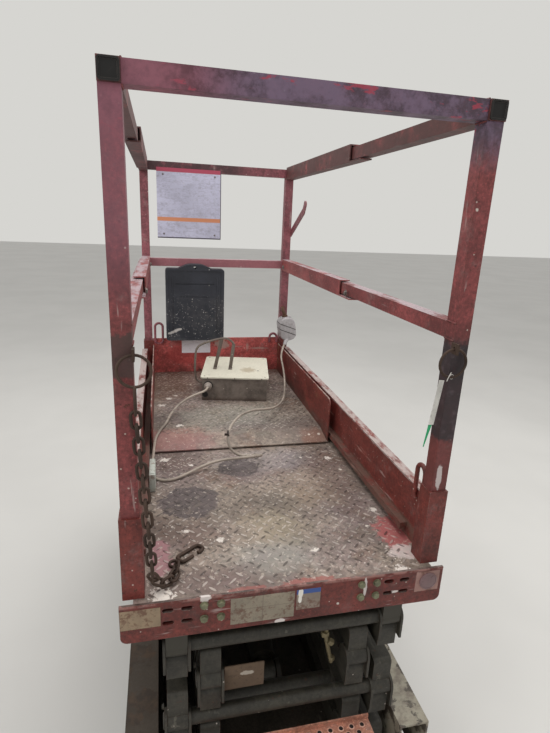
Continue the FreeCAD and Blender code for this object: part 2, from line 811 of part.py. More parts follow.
def make_knuckle(side):
    """Return a steering knuckle with its kingpin, stub axle, drive drum and steering arm."""
    x = side * kingpin_x
    pieces = [rod(kingpin_diameter / 2, (x, front_axle_y, knuckle_bottom_z),
                  (x, front_axle_y, knuckle_top_z))]
    pieces.append(rod(kingpin_sleeve_radius, (x, front_axle_y, knuckle_bottom_z),
                      (x, front_axle_y, sleeve_bottom_z - knuckle_gap)))
    pieces.append(rod(kingpin_sleeve_radius, (x, front_axle_y, sleeve_top_z + knuckle_gap),
                      (x, front_axle_y, knuckle_top_z)))
    pieces.append(rod(axle_diameter / 2, (x, front_axle_y, wheel_radius),
                      (side * axle_tip_x, front_axle_y, wheel_radius)))
    pieces.append(rod(drive_drum_radius, (side * drive_drum_x, front_axle_y, wheel_radius),
                      (side * axle_flange_x, front_axle_y, wheel_radius)))
    arm_y = front_axle_y - steer_arm_length
    pieces.append(box(x - steer_arm_width / 2, x + steer_arm_width / 2, arm_y, front_axle_y,
                      steer_arm_z, steer_arm_z + steer_arm_thickness))
    pieces.append(rod(steer_arm_width / 2, (x, arm_y, steer_arm_z),
                      (x, arm_y, steer_arm_z + steer_arm_thickness)))
    pieces.append(rod(tie_pin_diameter / 2, (x, arm_y, tie_rod_z - tie_eye_thickness / 2),
                      (x, arm_y, steer_arm_z)))
    return fuse(pieces)


def make_tie_rod():
    y = front_axle_y - steer_arm_length
    low, high = tie_rod_z - tie_eye_thickness / 2, tie_rod_z + tie_eye_thickness / 2
    bar = rod(tie_rod_diameter / 2, (-kingpin_x, y, tie_rod_z), (kingpin_x, y, tie_rod_z))
    shape = bar
    for side in (-1, 1):
        shape = shape.fuse(rod(tie_eye_radius, (side * kingpin_x, y, low), (side * kingpin_x, y, high)))
    for side in (-1, 1):
        hole = rod(tie_pin_diameter / 2 + pin_fit, (side * kingpin_x, y, low - tie_rod_diameter),
                   (side * kingpin_x, y, high + tie_rod_diameter))
        shape = shape.cut(hole)
    return shape.removeSplitter()


def make_tyre(side, y):
    inner_x, outer_x = side * (wheel_x - tyre_width / 2), side * (wheel_x + tyre_width / 2)
    tyre = pipe(wheel_radius, rim_radius + tyre_fit, (inner_x, y, wheel_radius), (outer_x, y, wheel_radius))
    shoulder = [edge for edge in tyre.Edges
                if edge.isClosed() and edge.BoundBox.ZLength > wheel_diameter - 1]
    return tyre.makeFillet(tyre_shoulder, shoulder)


def make_rim(side, y):
    """Return a wheel centre with a dished outer face and a hub."""
    z = wheel_radius
    inner_x, outer_x = side * (wheel_x - rim_width / 2), side * (wheel_x + rim_width / 2)
    disc = rod(rim_radius, (inner_x, y, z), (outer_x, y, z))
    dish = rod(rim_radius - rim_wall, (outer_x - side * rim_dish, y, z), (outer_x + side, y, z))
    hub = rod(hub_radius, (outer_x - side * rim_dish, y, z), (outer_x - side * hub_recess, y, z))
    bore = rod(axle_diameter / 2 + pin_fit, (inner_x - side, y, z), (outer_x + side, y, z))
    return disc.cut(dish).fuse(hub).removeSplitter().cut(bore)


# Platform

def make_main_deck():
    """Return the main deck plate on its frame, with the upper pin bosses."""
    side_in = side_board_x + side_board_thickness - side_channel_width
    edge = side_board_x + side_board_thickness
    pieces = [box(-edge, edge, deck_rear_y, deck_front_y, deck_under, deck_height)]
    for side in (-1, 1):
        edges = sorted((side * side_in, side * edge))
        pieces.append(square_tube(*edges, deck_rear_y, deck_front_y, frame_bottom, deck_under,
                                  side_channel_wall, "y"))
    for y in (deck_rear_y, cross_member_mid_y, deck_front_y - cross_member_width):
        pieces.append(square_tube(-side_in, side_in, y, y + cross_member_width, frame_bottom, deck_under,
                                  side_channel_wall, "x"))
    z = pin_z(level_count)
    for side in (-1, 1):
        edges = sorted((side * outer_arm_x, side * (outer_arm_x + arm_width)))
        boss = rod(boss_radius, (edges[0], rear_pin_y, z), (edges[1], rear_pin_y, z))
        web = box(*edges, deck_rear_y, rear_pin_y + boss_web, z, frame_bottom)
        pieces.append(boss.fuse(web))
    deck = fuse(pieces)
    for side in (-1, 1):
        ends = sorted((side * (outer_arm_x - 1), side * (outer_arm_x + arm_width + 1)))
        deck = deck.cut(rod(pin_radius + pin_fit, (ends[0], rear_pin_y, z), (ends[1], rear_pin_y, z)))
    return cut_slots(deck)


def make_deck_tracks():
    return both_sides(arm_track(pin_z(level_count), frame_bottom))


def make_rear_plate():
    """Return the plate behind the deck, with rounded lower corners."""
    half = rear_plate_width / 2
    plate = box(-half, half, deck_rear_y - rear_plate_thickness, deck_rear_y, frame_bottom, deck_height)
    low = [edge for edge in plate.Edges
           if edge.BoundBox.YLength > rear_plate_thickness / 2 and edge.BoundBox.ZMax < frame_bottom + 1]
    return cut_slots(plate.makeFillet(rear_plate_corner, low))


def cut_slots(shape):
    """Cut the short slots of the rear plate and of the frame wall behind it."""
    y0, y1 = deck_rear_y - rear_plate_thickness - 1, deck_rear_y + side_channel_wall + 1
    half, radius = slot_length / 2 - slot_width / 2, slot_width / 2
    for x in [side * place for side in (-1, 1) for place in slot_places]:
        for z in [deck_height - drop for drop in slot_drops]:
            ends = [rod(radius, (x + way * half, y0, z), (x + way * half, y1, z)) for way in (-1, 1)]
            shape = shape.cut(fuse([box(x - half, x + half, y0, y1, z - radius, z + radius)] + ends))
    return shape


def make_side_boards():
    """Return the main side boards, folded outward at the top, and the runners inside them."""
    top = deck_height + side_board_height
    board = box(side_board_x, side_board_x + side_board_thickness, socket_front_y, deck_front_y,
                deck_height, top)
    flange = box(side_board_x, side_board_x + side_board_flange, socket_front_y, deck_front_y,
                 top - side_board_thickness, top)
    runner_z = deck_height + runner_bottom
    runner = box(runner_inner_x, side_board_x, runner_rear_y, deck_front_y,
                 runner_z, runner_z + runner_height)
    return both_sides(fuse([board, flange, runner]))


def post_socket(x0, y0, base_z):
    """Return the wide tube that a post stands in, around a post's corner at x0, y0."""
    top = deck_height + socket_height
    sleeves = []
    for wrap in ((socket_tube - rail_tube) / 2, socket_fit):
        sleeves.append(box(x0 - wrap, x0 + rail_tube + wrap, y0 - wrap, y0 + rail_tube + wrap, base_z, top))
    return sleeves[0].cut(sleeves[1])


def make_entry_frame():
    """Return the two entry posts, standing in the sockets, and the bar between the top rails."""
    rear, front = entry_post_y, entry_post_y + rail_tube
    pieces = []
    for side in (-1, 1):
        edges = sorted((side * rail_in, side * rail_out))
        post = square_tube(*edges, rear, front, deck_height, rail_bottom, rail_wall, "z")
        pieces.append(fuse([post, box(*edges, rear, front, rail_bottom - rail_wall, rail_bottom)]))
    reach = rail_in - seat_gap
    pieces.append(square_tube(-reach, reach, rear, front, rail_bottom, rail_top, rail_wall, "x"))
    return Part.makeCompound(pieces)


def make_entry_sockets():
    return both_sides(post_socket(rail_in, entry_post_y, deck_height))


def make_main_rail(side):
    """Return one side's top and mid rails with the end caps."""
    edges = sorted((side * rail_in, side * rail_out))
    rear = entry_post_y + rail_tube
    top = square_tube(*edges, entry_post_y, main_rail_front_y, rail_bottom, rail_top, rail_wall, "y")
    mid = square_tube(*edges, rear, main_rail_front_y, mid_rail_z - rail_tube / 2, mid_rail_z + rail_tube / 2,
                      rail_wall, "y")
    cap = box(*edges, entry_post_y - end_cap, entry_post_y, rail_bottom, rail_top)
    return Part.makeCompound([top.fuse(cap).removeSplitter(), mid])


def ring_link(x, y, z, length, width, bar, turn):
    """Return a flat oblong ring of round bar, long along Z, turned about Z."""
    half = (length - width) / 2
    radius = (width - bar) / 2
    sweep = []
    for way in (-1, 1):
        torus = Part.makeTorus(radius, bar / 2, Vector(0, 0, way * half), Vector(0, 1, 0))
        keep = box(-width, width, -width, width, min(way * half, way * length), max(way * half, way * length))
        sweep.append(torus.common(keep))
        sweep.append(rod(bar / 2, (way * radius, 0, -half), (way * radius, 0, half)))
    ring = fuse(sweep)
    ring.rotate(Vector(0, 0, 0), Vector(0, 0, 1), turn)
    ring.translate(Vector(x, y, z))
    return ring


def make_post_rings():
    """Return the pull rings of the entry posts, each hanging in a lug behind its post."""
    pieces = []
    hole_y = entry_post_y - ring_lug_reach / 2
    hole_z = ring_top + ring_lug_hole
    for side in (-1, 1):
        x = side * (rail_in - ring_set_out)
        lug = box(x - ring_lug_thickness / 2, x + ring_lug_thickness / 2,
                  entry_post_y - ring_lug_reach, entry_post_y,
                  hole_z - ring_lug_reach / 2, hole_z + ring_lug_reach / 2)
        pieces.append(lug.cut(rod(ring_lug_hole, (x - ring_lug_thickness, hole_y, hole_z),
                                  (x + ring_lug_thickness, hole_y, hole_z))))
        middle = Vector(x, hole_y, hole_z - ring_lug_hole + seat_gap + ring_bar / 2 - ring_radius)
        pieces.append(Part.makeTorus(ring_radius, ring_bar / 2, middle, Vector(0, 1, 0)))
    return Part.makeCompound(pieces)


def bent_loop(x, y, top, foot, bar, turn):
    """Return a bar bent over into a loop with two legs, its plane turned about Z."""
    width = anchor_width
    loop = ring_link(x, y, top - anchor_length / 2, anchor_length, width, bar, turn)
    return loop.cut(box(x - width, x + width, y - width, y + width, top - anchor_length - 1, foot))


def make_anchor_loops():
    """Return the harness loops against the side boards, next to the entry sockets."""
    loops = []
    foot = deck_height + side_board_height - anchor_leg
    x = side_board_x - anchor_bar / 2 - seat_gap
    y = socket_front_y + anchor_width / 2 + seat_gap
    for side in (-1, 1):
        loops.append(bent_loop(side * x, y, anchor_top, foot, anchor_bar, 90))
    return Part.makeCompound(loops)


def make_front_loops():
    """Return the harness loops in the corners behind the front board."""
    loops = []
    foot = extension_top + front_board_height - anchor_leg
    y = front_post_y - anchor_bar / 2 - seat_gap
    for x, rise in front_loop_places:
        loops.append(bent_loop(x, y, extension_top + rise, foot, anchor_bar, 0))
    return Part.makeCompound(loops)


# Extension deck

def ramp_line(rise, end_y):
    """Return the (y, z) points over the rear ramp and the level deck, raised by an amount."""
    return [(extension_rear_y, deck_height + extension_tip + rise), (extension_ramp_y, extension_top + rise),
            (end_y, extension_top + rise)]


def extruded(outline, x0, x1):
    """Return the solid between two X places over an outline of (y, z) points."""
    corners = [Vector(x0, *point) for point in outline]
    return Part.Face(Part.makePolygon(corners + corners[:1])).extrude(Vector(x1 - x0, 0, 0))


def make_extension_deck():
    """Return the sliding deck with its rear ramp, edge bars and wear pads."""
    half = extension_half_width
    plate_outline = ramp_line(-extension_plate, front_post_y) + ramp_line(0, front_post_y)[::-1]
    pieces = [extruded(plate_outline, -half, half)]
    bar_bottom = deck_height + pad_gap + pad_height
    for side in (-1, 1):
        edges = sorted((side * (half - extension_bar), side * half))
        pieces.append(box(*edges, extension_ramp_y, front_post_y, bar_bottom, extension_under))
        for y in (extension_ramp_y, front_post_y - pad_size - pad_inset):
            pieces.append(box(*edges, y, y + pad_size, deck_height + pad_gap, bar_bottom))
    pieces.append(box(-half, half, extension_ramp_y, extension_ramp_y + extension_lip,
                      bar_bottom, extension_under))
    wrap = (socket_tube - rail_tube) / 2
    reach = front_post_out + wrap
    pieces.append(box(-reach, reach, front_post_y - wrap, front_post_y + rail_tube + wrap,
                      bar_bottom, extension_top))
    return fuse(pieces)


def make_extension_boards():
    """Return the extension's side boards, each with a rounded rear top corner."""
    top = extension_top + extension_board_height
    front = front_post_y - (socket_tube - rail_tube) / 2
    outline = ramp_line(0, front) + [(front, top), (extension_rear_y, top)]
    board = extruded(outline, extension_half_width - side_board_thickness, extension_half_width)
    corner = [edge for edge in board.Edges
              if edge.BoundBox.XLength > 1 and edge.BoundBox.YMax < extension_rear_y + 1
              and edge.BoundBox.ZMin > top - 1]
    return both_sides(board.makeFillet(extension_board_corner, corner))


def make_front_board():
    wrap = (socket_tube - rail_tube) / 2
    inner = sleeve_in - wrap
    return box(-inner, inner, front_post_y, front_post_y + side_board_thickness,
               extension_top, extension_top + front_board_height)


def make_front_frame():
    """Return the extension's front posts with the top and mid rails between them."""
    pieces = []
    y0, y1 = front_post_y, front_post_y + rail_tube
    for side in (-1, 1):
        edges = sorted((side * sleeve_in, side * front_post_out))
        pieces.append(square_tube(*edges, y0, y1, extension_top, rail_top, rail_wall, "z"))
        pieces.append(box(*edges, y0, y1, rail_top - rail_wall, rail_top))
    for z in (rail_bottom, mid_rail_z - rail_tube / 2):
        pieces.append(square_tube(-sleeve_in, sleeve_in, y0, y1, z, z + rail_tube, rail_wall, "x"))
    return fuse(pieces)


def make_front_sockets():
    return both_sides(post_socket(sleeve_in, front_post_y, extension_top))


def make_sleeve_rail(side):
    """Return one side's pair of channel rails that slide over the main rails."""
    channels = []
    for middle in (rail_top - rail_tube / 2, mid_rail_z):
        half = rail_tube / 2 + sleeve_gap + sleeve_wall
        low, high = middle - half, middle + half
        web = box(sleeve_in, sleeve_in + sleeve_wall, sleeve_rear_y, front_post_y, low, high)
        top = box(sleeve_in, front_post_out, sleeve_rear_y, front_post_y, high - sleeve_wall, high)
        lip = box(sleeve_in, front_post_out, sleeve_lip_rear_y, front_post_y, low, low + sleeve_wall)
        channels.append(fuse([web, top, lip]))
    pair = Part.makeCompound(channels)
    return pair if side > 0 else mirror_x(pair)


def make_placard():
    x0, x1 = placard_edges
    return box(x0, x1, front_post_y - contact_gap - placard_thickness, front_post_y - contact_gap,
               placard_bottom, placard_top)


def make_manual_box():
    """Return the document box with its arched top and hanging hole."""
    x0, x1 = manual_box_edges
    y1 = front_post_y - contact_gap
    body = box(x0, x1, y1 - manual_box_depth, y1, manual_box_bottom, manual_box_top)
    edges = [edge for edge in body.Edges
             if edge.BoundBox.YLength > manual_box_depth / 2 and edge.BoundBox.ZMin > manual_box_top - 1]
    return body.makeFillet(manual_box_corner, edges)


def make_slide_handle():
    """Return the bent grab strap outside the front right post."""
    x0 = front_post_out
    x1 = x0 + handle_thickness
    points = [(front_post_y + ahead, mid_rail_z + rise) for ahead, rise in handle_points]
    return fuse([link_plate(x0, x1, start, end, handle_half_width) for start, end in zip(points, points[1:])])


def make_outlet():
    """Return the leaning power outlet, its arm from the front post and its strain relief."""
    width, depth, height = outlet_size
    x, y, z = (front_post_out - rail_tube / 2, front_post_y, extension_top)
    x, y, z = [place + offset for place, offset in zip((x, y, z), outlet_middle)]
    body = box(x - width / 2, x + width / 2, y - depth / 2, y + depth / 2, z - height / 2, z + height / 2)
    body = body.makeFillet(outlet_corner, [edge for edge in body.Edges if edge.BoundBox.YLength > depth / 2])
    body.rotate(Vector(x, y, z), Vector(0, 1, 0), outlet_lean)
    arm = box(x - outlet_arm[0] / 2, x + outlet_arm[0] / 2, y, front_post_y - contact_gap,
              z - outlet_arm[1] / 2, z + outlet_arm[1] / 2)
    tip = Vector(*cord_route[-1])
    way = (tip - Vector(*cord_route[-2])).normalize()
    relief = Part.makeCone(cord_diameter / 2 + relief_wall, relief_radius, relief_length, tip, way)
    return fuse([body, arm, relief])


# Control box

def place_control(shape):
    """Turn and move a piece drawn about the control box's middle to its place on the deck."""
    shape.rotate(Vector(0, 0, 0), Vector(0, 0, 1), control_turn)
    shape.translate(Vector(control_middle[0], front_post_y + control_middle[1], extension_top + contact_gap))
    return shape


def make_control_box():
    """Return the control box body under its overhanging lid."""
    width, depth, height = control_size
    body = box(-width / 2, width / 2, -depth / 2, depth / 2, 0, height - control_lid)
    lid = box(-width / 2 - control_brim, width / 2 + control_brim, -depth / 2 - control_brim,
              depth / 2 + control_brim, height - control_lid, height)
    upright = [edge for edge in lid.Edges if edge.BoundBox.ZLength > control_lid / 2]
    return place_control(fuse([body, lid.makeFillet(control_corner, upright)]))


def make_control_guard():
    """Return the bent rod over the controls, from the box's left side to two straps on its lid."""
    width, depth, height = control_size
    left = -width / 2
    points = [(left, hoop_y, height - hoop_foot_drop)]
    points += [(left + x, hoop_y, height + rise) for x, rise in hoop_bow + hoop_top]
    pieces = [rod(hoop_rod / 2, start, end) for start, end in zip(points, points[1:])]
    pieces += [Part.makeSphere(hoop_rod / 2, Vector(*point)) for point in points[1:]]
    strap_width, strap_thickness = hoop_strap
    for foot, (x, rise) in zip(hoop_strap_places, (hoop_top[0], hoop_top[-1])):
        foot, x, half = left + foot, left + x, strap_width / 2
        outline = [Vector(foot - half, hoop_y, height), Vector(foot + half, hoop_y, height),
                   Vector(x + half, hoop_y, height + rise), Vector(x - half, hoop_y, height + rise)]
        strap = Part.Face(Part.makePolygon(outline + outline[:1])).extrude(Vector(0, strap_thickness, 0))
        pieces += [strap, box(foot - half, foot + half, hoop_y - hoop_strap_foot, hoop_y + strap_thickness,
                              height, height + strap_thickness)]
    return place_control(fuse(pieces))


def make_control_gland():
    """Return the gland where the cord leaves the control box."""
    tip = Vector(*cord_route[0])
    way = (tip - Vector(*cord_route[1])).normalize()
    gland = Part.makeCone(cord_diameter / 2 + relief_wall, gland_radius, gland_length / 2, tip, way)
    gland = gland.fuse(Part.makeCylinder(gland_radius, gland_length / 2, tip + way * (gland_length / 2), way))
    return gland.removeSplitter().cut(make_control_box())


# Control cord

def rounded_wire(points):
    """Return straight runs joined by the largest tangent arcs that the runs allow."""
    corners = [Vector(*point) for point in points]
    edges = []
    start = corners[0]
    radii = []
    for before, corner, after in zip(corners, corners[1:], corners[2:]):
        back, ahead = before - corner, after - corner
        reach = cord_arc_share * min(back.Length, ahead.Length)
        turn = math.pi - back.getAngle(ahead)
        radius = reach / math.tan(turn / 2)
        radii.append(radius)
        back.normalize()
        ahead.normalize()
        enter, leave = corner + back * reach, corner + ahead * reach
        centre = corner + (back + ahead).normalize() * math.hypot(radius, reach)
        middle = centre + (corner - centre).normalize() * radius
        edges.append(Part.LineSegment(start, enter).toShape())
        edges.append(Part.Arc(enter, middle, leave).toShape())
        start = leave
    edges.append(Part.LineSegment(start, corners[-1]).toShape())
    print("smallest cord radius", round(min(radii), 1), "mm of", [round(radius) for radius in radii])
    return Part.Wire(edges)


def make_control_cord():
    path = rounded_wire(cord_route)
    way = Vector(*cord_route[1]) - Vector(*cord_route[0])
    section = Part.Wire(Part.makeCircle(cord_diameter / 2, Vector(*cord_route[0]), way))
    cord = path.makePipeShell([section], True, False)
    print("cord length", round(path.Length, 1), "mm, volume against section times length",
          round(cord.Volume / (math.pi * cord_diameter ** 2 / 4 * path.Length), 4))
    return cord


def make_cord_connector():
    """Return the upright block that straddles the cord on the main deck."""
    width, depth, height = connector_size
    x, y = connector_middle
    y += front_post_y - cord_datum_y
    floor = deck_height + contact_gap
    block = box(x - width / 2, x + width / 2, y - depth / 2, y + depth / 2, floor, floor + height)
    half_slot, slot_height = connector_slot[0] / 2, connector_slot[1]
    return block.cut(box(x - half_slot, x + half_slot, y - depth, y + depth, floor - 1, floor + slot_height))


# Entry chain

def plain_link(length, width, bar):
    """Return an oblong link of square bar about the origin, long along Z and flat across Y."""
    loops = []
    for outset in (0, bar):
        radius = width / 2 - outset
        rise = length / 2 - width / 2
        corners = []
        for way in (1, -1):
            for step in range(chain_arc_steps + 1):
                angle = math.pi * step / chain_arc_steps
                corners.append(Vector(way * radius * math.cos(angle), -bar / 2,
                                      way * (rise + radius * math.sin(angle))))
        loops.append(Part.Face(Part.makePolygon(corners + corners[:1])).extrude(Vector(0, bar, 0)))
    return loops[0].cut(loops[1])


def lay_link(link, middle, way, roll):
    """Return the link moved to its middle, long along way, rolled about its length."""
    turn = FreeCAD.Rotation(Vector(0, 0, 1), way).multiply(FreeCAD.Rotation(Vector(0, 0, 1), roll))
    link.Placement = FreeCAD.Placement(middle, turn)
    return link


def walk_path(points, spacing):
    """Return places and directions at even steps along straight runs."""
    places = []
    left = 0.0
    for start, end in zip(points, points[1:]):
        start, end = Vector(*start), Vector(*end)
        way = (start - end).normalize()
        length = (end - start).Length
        while left <= length:
            places.append((start - way * left, way))
            left += spacing
        left -= length
    return places


def make_entry_chain():
    """Return the chain on the left ring: snap link, links down to the deck, eye and hook."""
    hole_y = entry_post_y - ring_lug_reach / 2
    ring_inside = ring_top + seat_gap + ring_bar - 2 * ring_radius
    snap_low = ring_inside + snap_bar + seat_gap - snap_length
    snap_middle = snap_low + snap_length / 2
    x = -(rail_in - ring_set_out)
    first = (x, hole_y, snap_low + snap_bar + seat_gap + chain_bar - chain_length / 2)
    snap = plain_link(snap_length, snap_width, snap_bar)
    links = [lay_link(snap, Vector(x, hole_y, snap_middle), Vector(0, 0, 1), 90)]
    spacing = chain_length - 2 * chain_bar - chain_play
    path = [first] + [(px, py + chain_shift, pz) for px, py, pz in chain_path]
    for number, (middle, way) in enumerate(walk_path(path, spacing)):
        lying = middle.z < floor_link_rise
        roll = 90 * (number % 2) + (45 if lying else 0)
        links.append(lay_link(plain_link(chain_length, chain_width, chain_bar), middle, way, roll))
    floor = deck_height + contact_gap
    eye = plain_link(*hook_eye, chain_bar)
    eye.rotate(Vector(0, 0, 0), Vector(1, 0, 0), 90)
    eye.translate(Vector(*hook_eye_place, floor + chain_bar / 2) + Vector(0, chain_shift, 0))
    hook = plain_link(*hook_size, hook_bar)
    hook = hook.cut(box(0, hook_size[1], -hook_bar, hook_bar, -hook_size[0] / 2 + hook_mouth, 0))
    hook.rotate(Vector(0, 0, 0), Vector(1, 0, 0), 90)
    hook.rotate(Vector(0, 0, 0), Vector(0, 0, 1), hook_turn)
    hook.translate(Vector(*hook_place, floor + hook_bar / 2) + Vector(0, chain_shift, 0))
    return Part.makeCompound(links + [eye, hook])


nodes = {
    "chassis": make_chassis(),
    "base_tracks": make_base_tracks(),
    "side_ledges": make_side_ledges(),
    "entry_ladder": make_ladder(),
    "rear_axle": make_rear_axle(),
    "pothole_guards": make_pothole_guards(),
    "tray_right": make_tray(),
    "tray_left": mirror_x(make_tray()),
    "hydraulic_unit": tray_block(hydraulic_width, hydraulic_height, hydraulic_room),
    "battery_pack": mirror_x(tray_block(battery_width, battery_height, battery_room)),
    "tie_rod": make_tie_rod(),
    "lift_barrel": make_lift_barrel(),
    "lift_rod": make_lift_rod(),
    "main_deck": make_main_deck(),
    "deck_tracks": make_deck_tracks(),
    "rear_plate": make_rear_plate(),
    "side_boards": make_side_boards(),
    "entry_frame": make_entry_frame(),
    "entry_sockets": make_entry_sockets(),
    "post_rings": make_post_rings(),
    "anchor_loops": make_anchor_loops(),
    "front_loops": make_front_loops(),
    "extension_deck": make_extension_deck(),
    "extension_boards": make_extension_boards(),
    "front_board": make_front_board(),
    "front_frame": make_front_frame(),
    "front_sockets": make_front_sockets(),
    "placard": make_placard(),
    "manual_box": make_manual_box(),
    "slide_handle": make_slide_handle(),
    "outlet": make_outlet(),
    "control_box": make_control_box(),
    "control_guard": make_control_guard(),
    "control_gland": make_control_gland(),
    "control_cord": make_control_cord(),
    "cord_connector": make_cord_connector(),
    "entry_chain": make_entry_chain(),
}
for side, name in ((-1, "left"), (1, "right")):
    nodes["knuckle_" + name] = make_knuckle(side)
    nodes["main_rail_" + name] = make_main_rail(side)
    nodes["sleeve_rail_" + name] = make_sleeve_rail(side)
    for end, y in (("front", front_axle_y), ("rear", rear_axle_y)):
        nodes["tyre_" + end + "_" + name] = make_tyre(side, y)
        nodes["rim_" + end + "_" + name] = make_rim(side, y)
for level in range(level_count):
    for rising in (True, False):
        outer = rising == (level % 2 == 0)
        plane = "outer" if outer else "inner"
        nodes["arm_" + str(level + 1) + "_" + plane] = arm_frame(level, rising, outer)

os.makedirs("parts", exist_ok=True)
for name, shape in nodes.items():
    if not shape.isValid():
        print("not valid:", name)
    shape.exportStep("parts/" + name + ".step")
    print(name, len(shape.Solids), round(shape.Volume / 1e6, 3), "dm3")
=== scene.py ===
"""A stowed electric scissor lift, finished for rendering over its packed CAD model.

Metres, +X right, +Y forward, +Z up, the floor at Z 0. The operators below model what the CAD
leaves to this file and give every surface its finish. Each finished piece rides on a CAD body.
"""

import math

import bmesh
import bpy
from bpy.props import FloatProperty, FloatVectorProperty, IntProperty, PointerProperty
from mathutils import Euler, Matrix, Vector


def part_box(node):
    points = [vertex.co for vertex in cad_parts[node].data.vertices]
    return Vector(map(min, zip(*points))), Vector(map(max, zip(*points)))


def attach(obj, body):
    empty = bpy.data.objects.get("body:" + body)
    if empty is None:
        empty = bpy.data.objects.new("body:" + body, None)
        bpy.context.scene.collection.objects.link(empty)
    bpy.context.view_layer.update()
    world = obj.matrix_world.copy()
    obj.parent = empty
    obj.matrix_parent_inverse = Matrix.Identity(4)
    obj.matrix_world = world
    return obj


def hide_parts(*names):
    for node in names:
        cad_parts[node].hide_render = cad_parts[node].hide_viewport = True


bl_info = {
    "name": "Scissor lift finish",
    "version": (1, 0, 0),
    "blender": (4, 5, 0),
    "location": "View3D > Sidebar > Scissor lift",
    "description": "Models the small parts of a stowed scissor lift and gives it its worn finishes",
    "category": "Object",
}

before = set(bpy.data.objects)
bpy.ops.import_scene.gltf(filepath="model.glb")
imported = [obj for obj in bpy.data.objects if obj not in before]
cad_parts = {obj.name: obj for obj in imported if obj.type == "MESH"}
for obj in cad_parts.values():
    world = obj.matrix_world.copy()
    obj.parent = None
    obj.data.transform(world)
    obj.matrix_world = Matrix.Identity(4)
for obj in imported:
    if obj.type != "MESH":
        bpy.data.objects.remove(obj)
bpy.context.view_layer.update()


# Values that a user would change

def colour(name, description, default):
    return FloatVectorProperty(
        name=name, description=description, subtype="COLOR_GAMMA", size=3, min=0.0, max=1.0,
        default=tuple(v / 255 for v in default))


def length(name, description, default):
    return FloatProperty(
        name=name, description=description, default=default, min=0.0001, subtype="DISTANCE", unit="LENGTH")


class LiftColours(bpy.types.PropertyGroup):
    frame_red: colour("Frame paint", "Paint of the entry posts and rails", (136, 66, 66))
    board_red: colour("Board paint", "Paint of the toe boards and sockets", (122, 52, 45))
    front_red: colour("Front paint", "Faded paint of the front posts and rails", (140, 80, 88))
    rail_top: colour("Top rail paint", "Worn purple-grey paint of the upper rails", (108, 92, 114))
    bare_steel: colour("Bare steel", "Steel where the paint is gone", (128, 122, 116))
    rust: colour("Rust", "Rust at edges and chips", (86, 54, 42))
    chalk: colour("Chalky wear", "Pale rubbed paint", (186, 168, 164))
    deck: colour("Deck", "Worn tread plate", (150, 136, 124))
    stain: colour("Deck stains", "Dark patches on the deck", (92, 82, 82))
    arm_grey: colour("Arm paint", "Dark paint of the scissor arms", (52, 49, 41))
    base_grey: colour("Base paint", "Dark paint of the base", (72, 66, 58))
    step_red: colour("Step paint", "Faded orange paint of the ladder", (190, 130, 108))
    cord: colour("Cord", "Jacket of the control cord", (170, 158, 146))


class LiftSizes(bpy.types.PropertyGroup):
    lug_length: length("Lug length", "Length of one raised lug of the tread plate", 0.0260)
    lug_width: length("Lug width", "Width of one raised lug", 0.0088)
    lug_height: length("Lug height", "Height of one raised lug", 0.0013)
    lug_across: length("Lug pitch across", "Distance between lugs of a row", 0.0339)
    lug_along: length("Lug pitch along", "Distance between rows that lean the same way", 0.0375)
    bolt_width: length("Bolt width", "Width of a hexagon head across its flats", 0.015)
    bolt_height: length("Bolt height", "Height of a hexagon head", 0.006)
    cord_diameter: length("Cord diameter", "Diameter of the control cord", 0.0095)
    link_length: length("Link length", "Length of one link of the entry chain", 0.043)
    link_width: length("Link width", "Width of one link of the entry chain", 0.026)
    link_bar: length("Link bar", "Diameter of a link's bar", 0.007)


# The photograph's camera, found from the machine's own edges

CAMERA_PLACE = Vector((-0.28676, -1.72139, 1.80243))
CAMERA_YAW, CAMERA_PITCH, CAMERA_ROLL = 0.2359, 0.2895, 0.0444
FOCAL_PIXELS, LONG_SIDE_PIXELS, SENSOR_WIDTH = 489.5, 733, 36.0


# Places and sizes that the part's source gives too

RAIL_TUBE = 0.038
SLIDE_TUBE_PLAY, SLIDE_TUBE_HOLD = 0.010, 0.09
CONTROL_SIZE, CONTROL_TURN = (0.290, 0.330, 0.110), -10.0
HOOP_ROD, HOOP_BACK = 0.010, -0.024
HOOP_ROUTE = ((0.0, -0.074), (-0.028, -0.074), (-0.046, -0.050), (-0.046, 0.040), (-0.040, 0.095),
              (-0.007, 0.119), (0.079, 0.146), (0.115, 0.142), (0.134, 0.120))
STRAP_FEET, STRAP_WIDTH = (0.048, 0.1195), 0.016
OUTLET_SIZE, OUTLET_MIDDLE, OUTLET_LEAN = (0.084, 0.080, 0.120), (0.352, 0.720, 1.265), -10.0
SNAP_MIDDLE, CHAIN_PLAY, LYING_BELOW = 1.4557, 0.0016, 1.012
CHAIN_ROUTE = (
    (-0.340, -0.797, 1.4159), (-0.324, -0.811, 1.190), (-0.318, -0.788, 1.038), (-0.309, -0.776, 1.013),
    (-0.294, -0.769, 1.001), (-0.277, -0.756, 0.9986), (-0.268, -0.735, 0.9986), (-0.266, -0.712, 0.9982),
)
HOOK_PLACE, HOOK_TURN = (-0.229, -0.659), -53.0
HOOK_ROUTE = ((0.0125, 0.002), (0.0125, 0.020), (0.0125, 0.034), (0.0, 0.036), (-0.0125, 0.034), (-0.0125, 0.016),
              (-0.0125, -0.016), (-0.0125, -0.034), (0.0, -0.036), (0.0125, -0.034), (0.0125, -0.014))

# Places read off the photograph

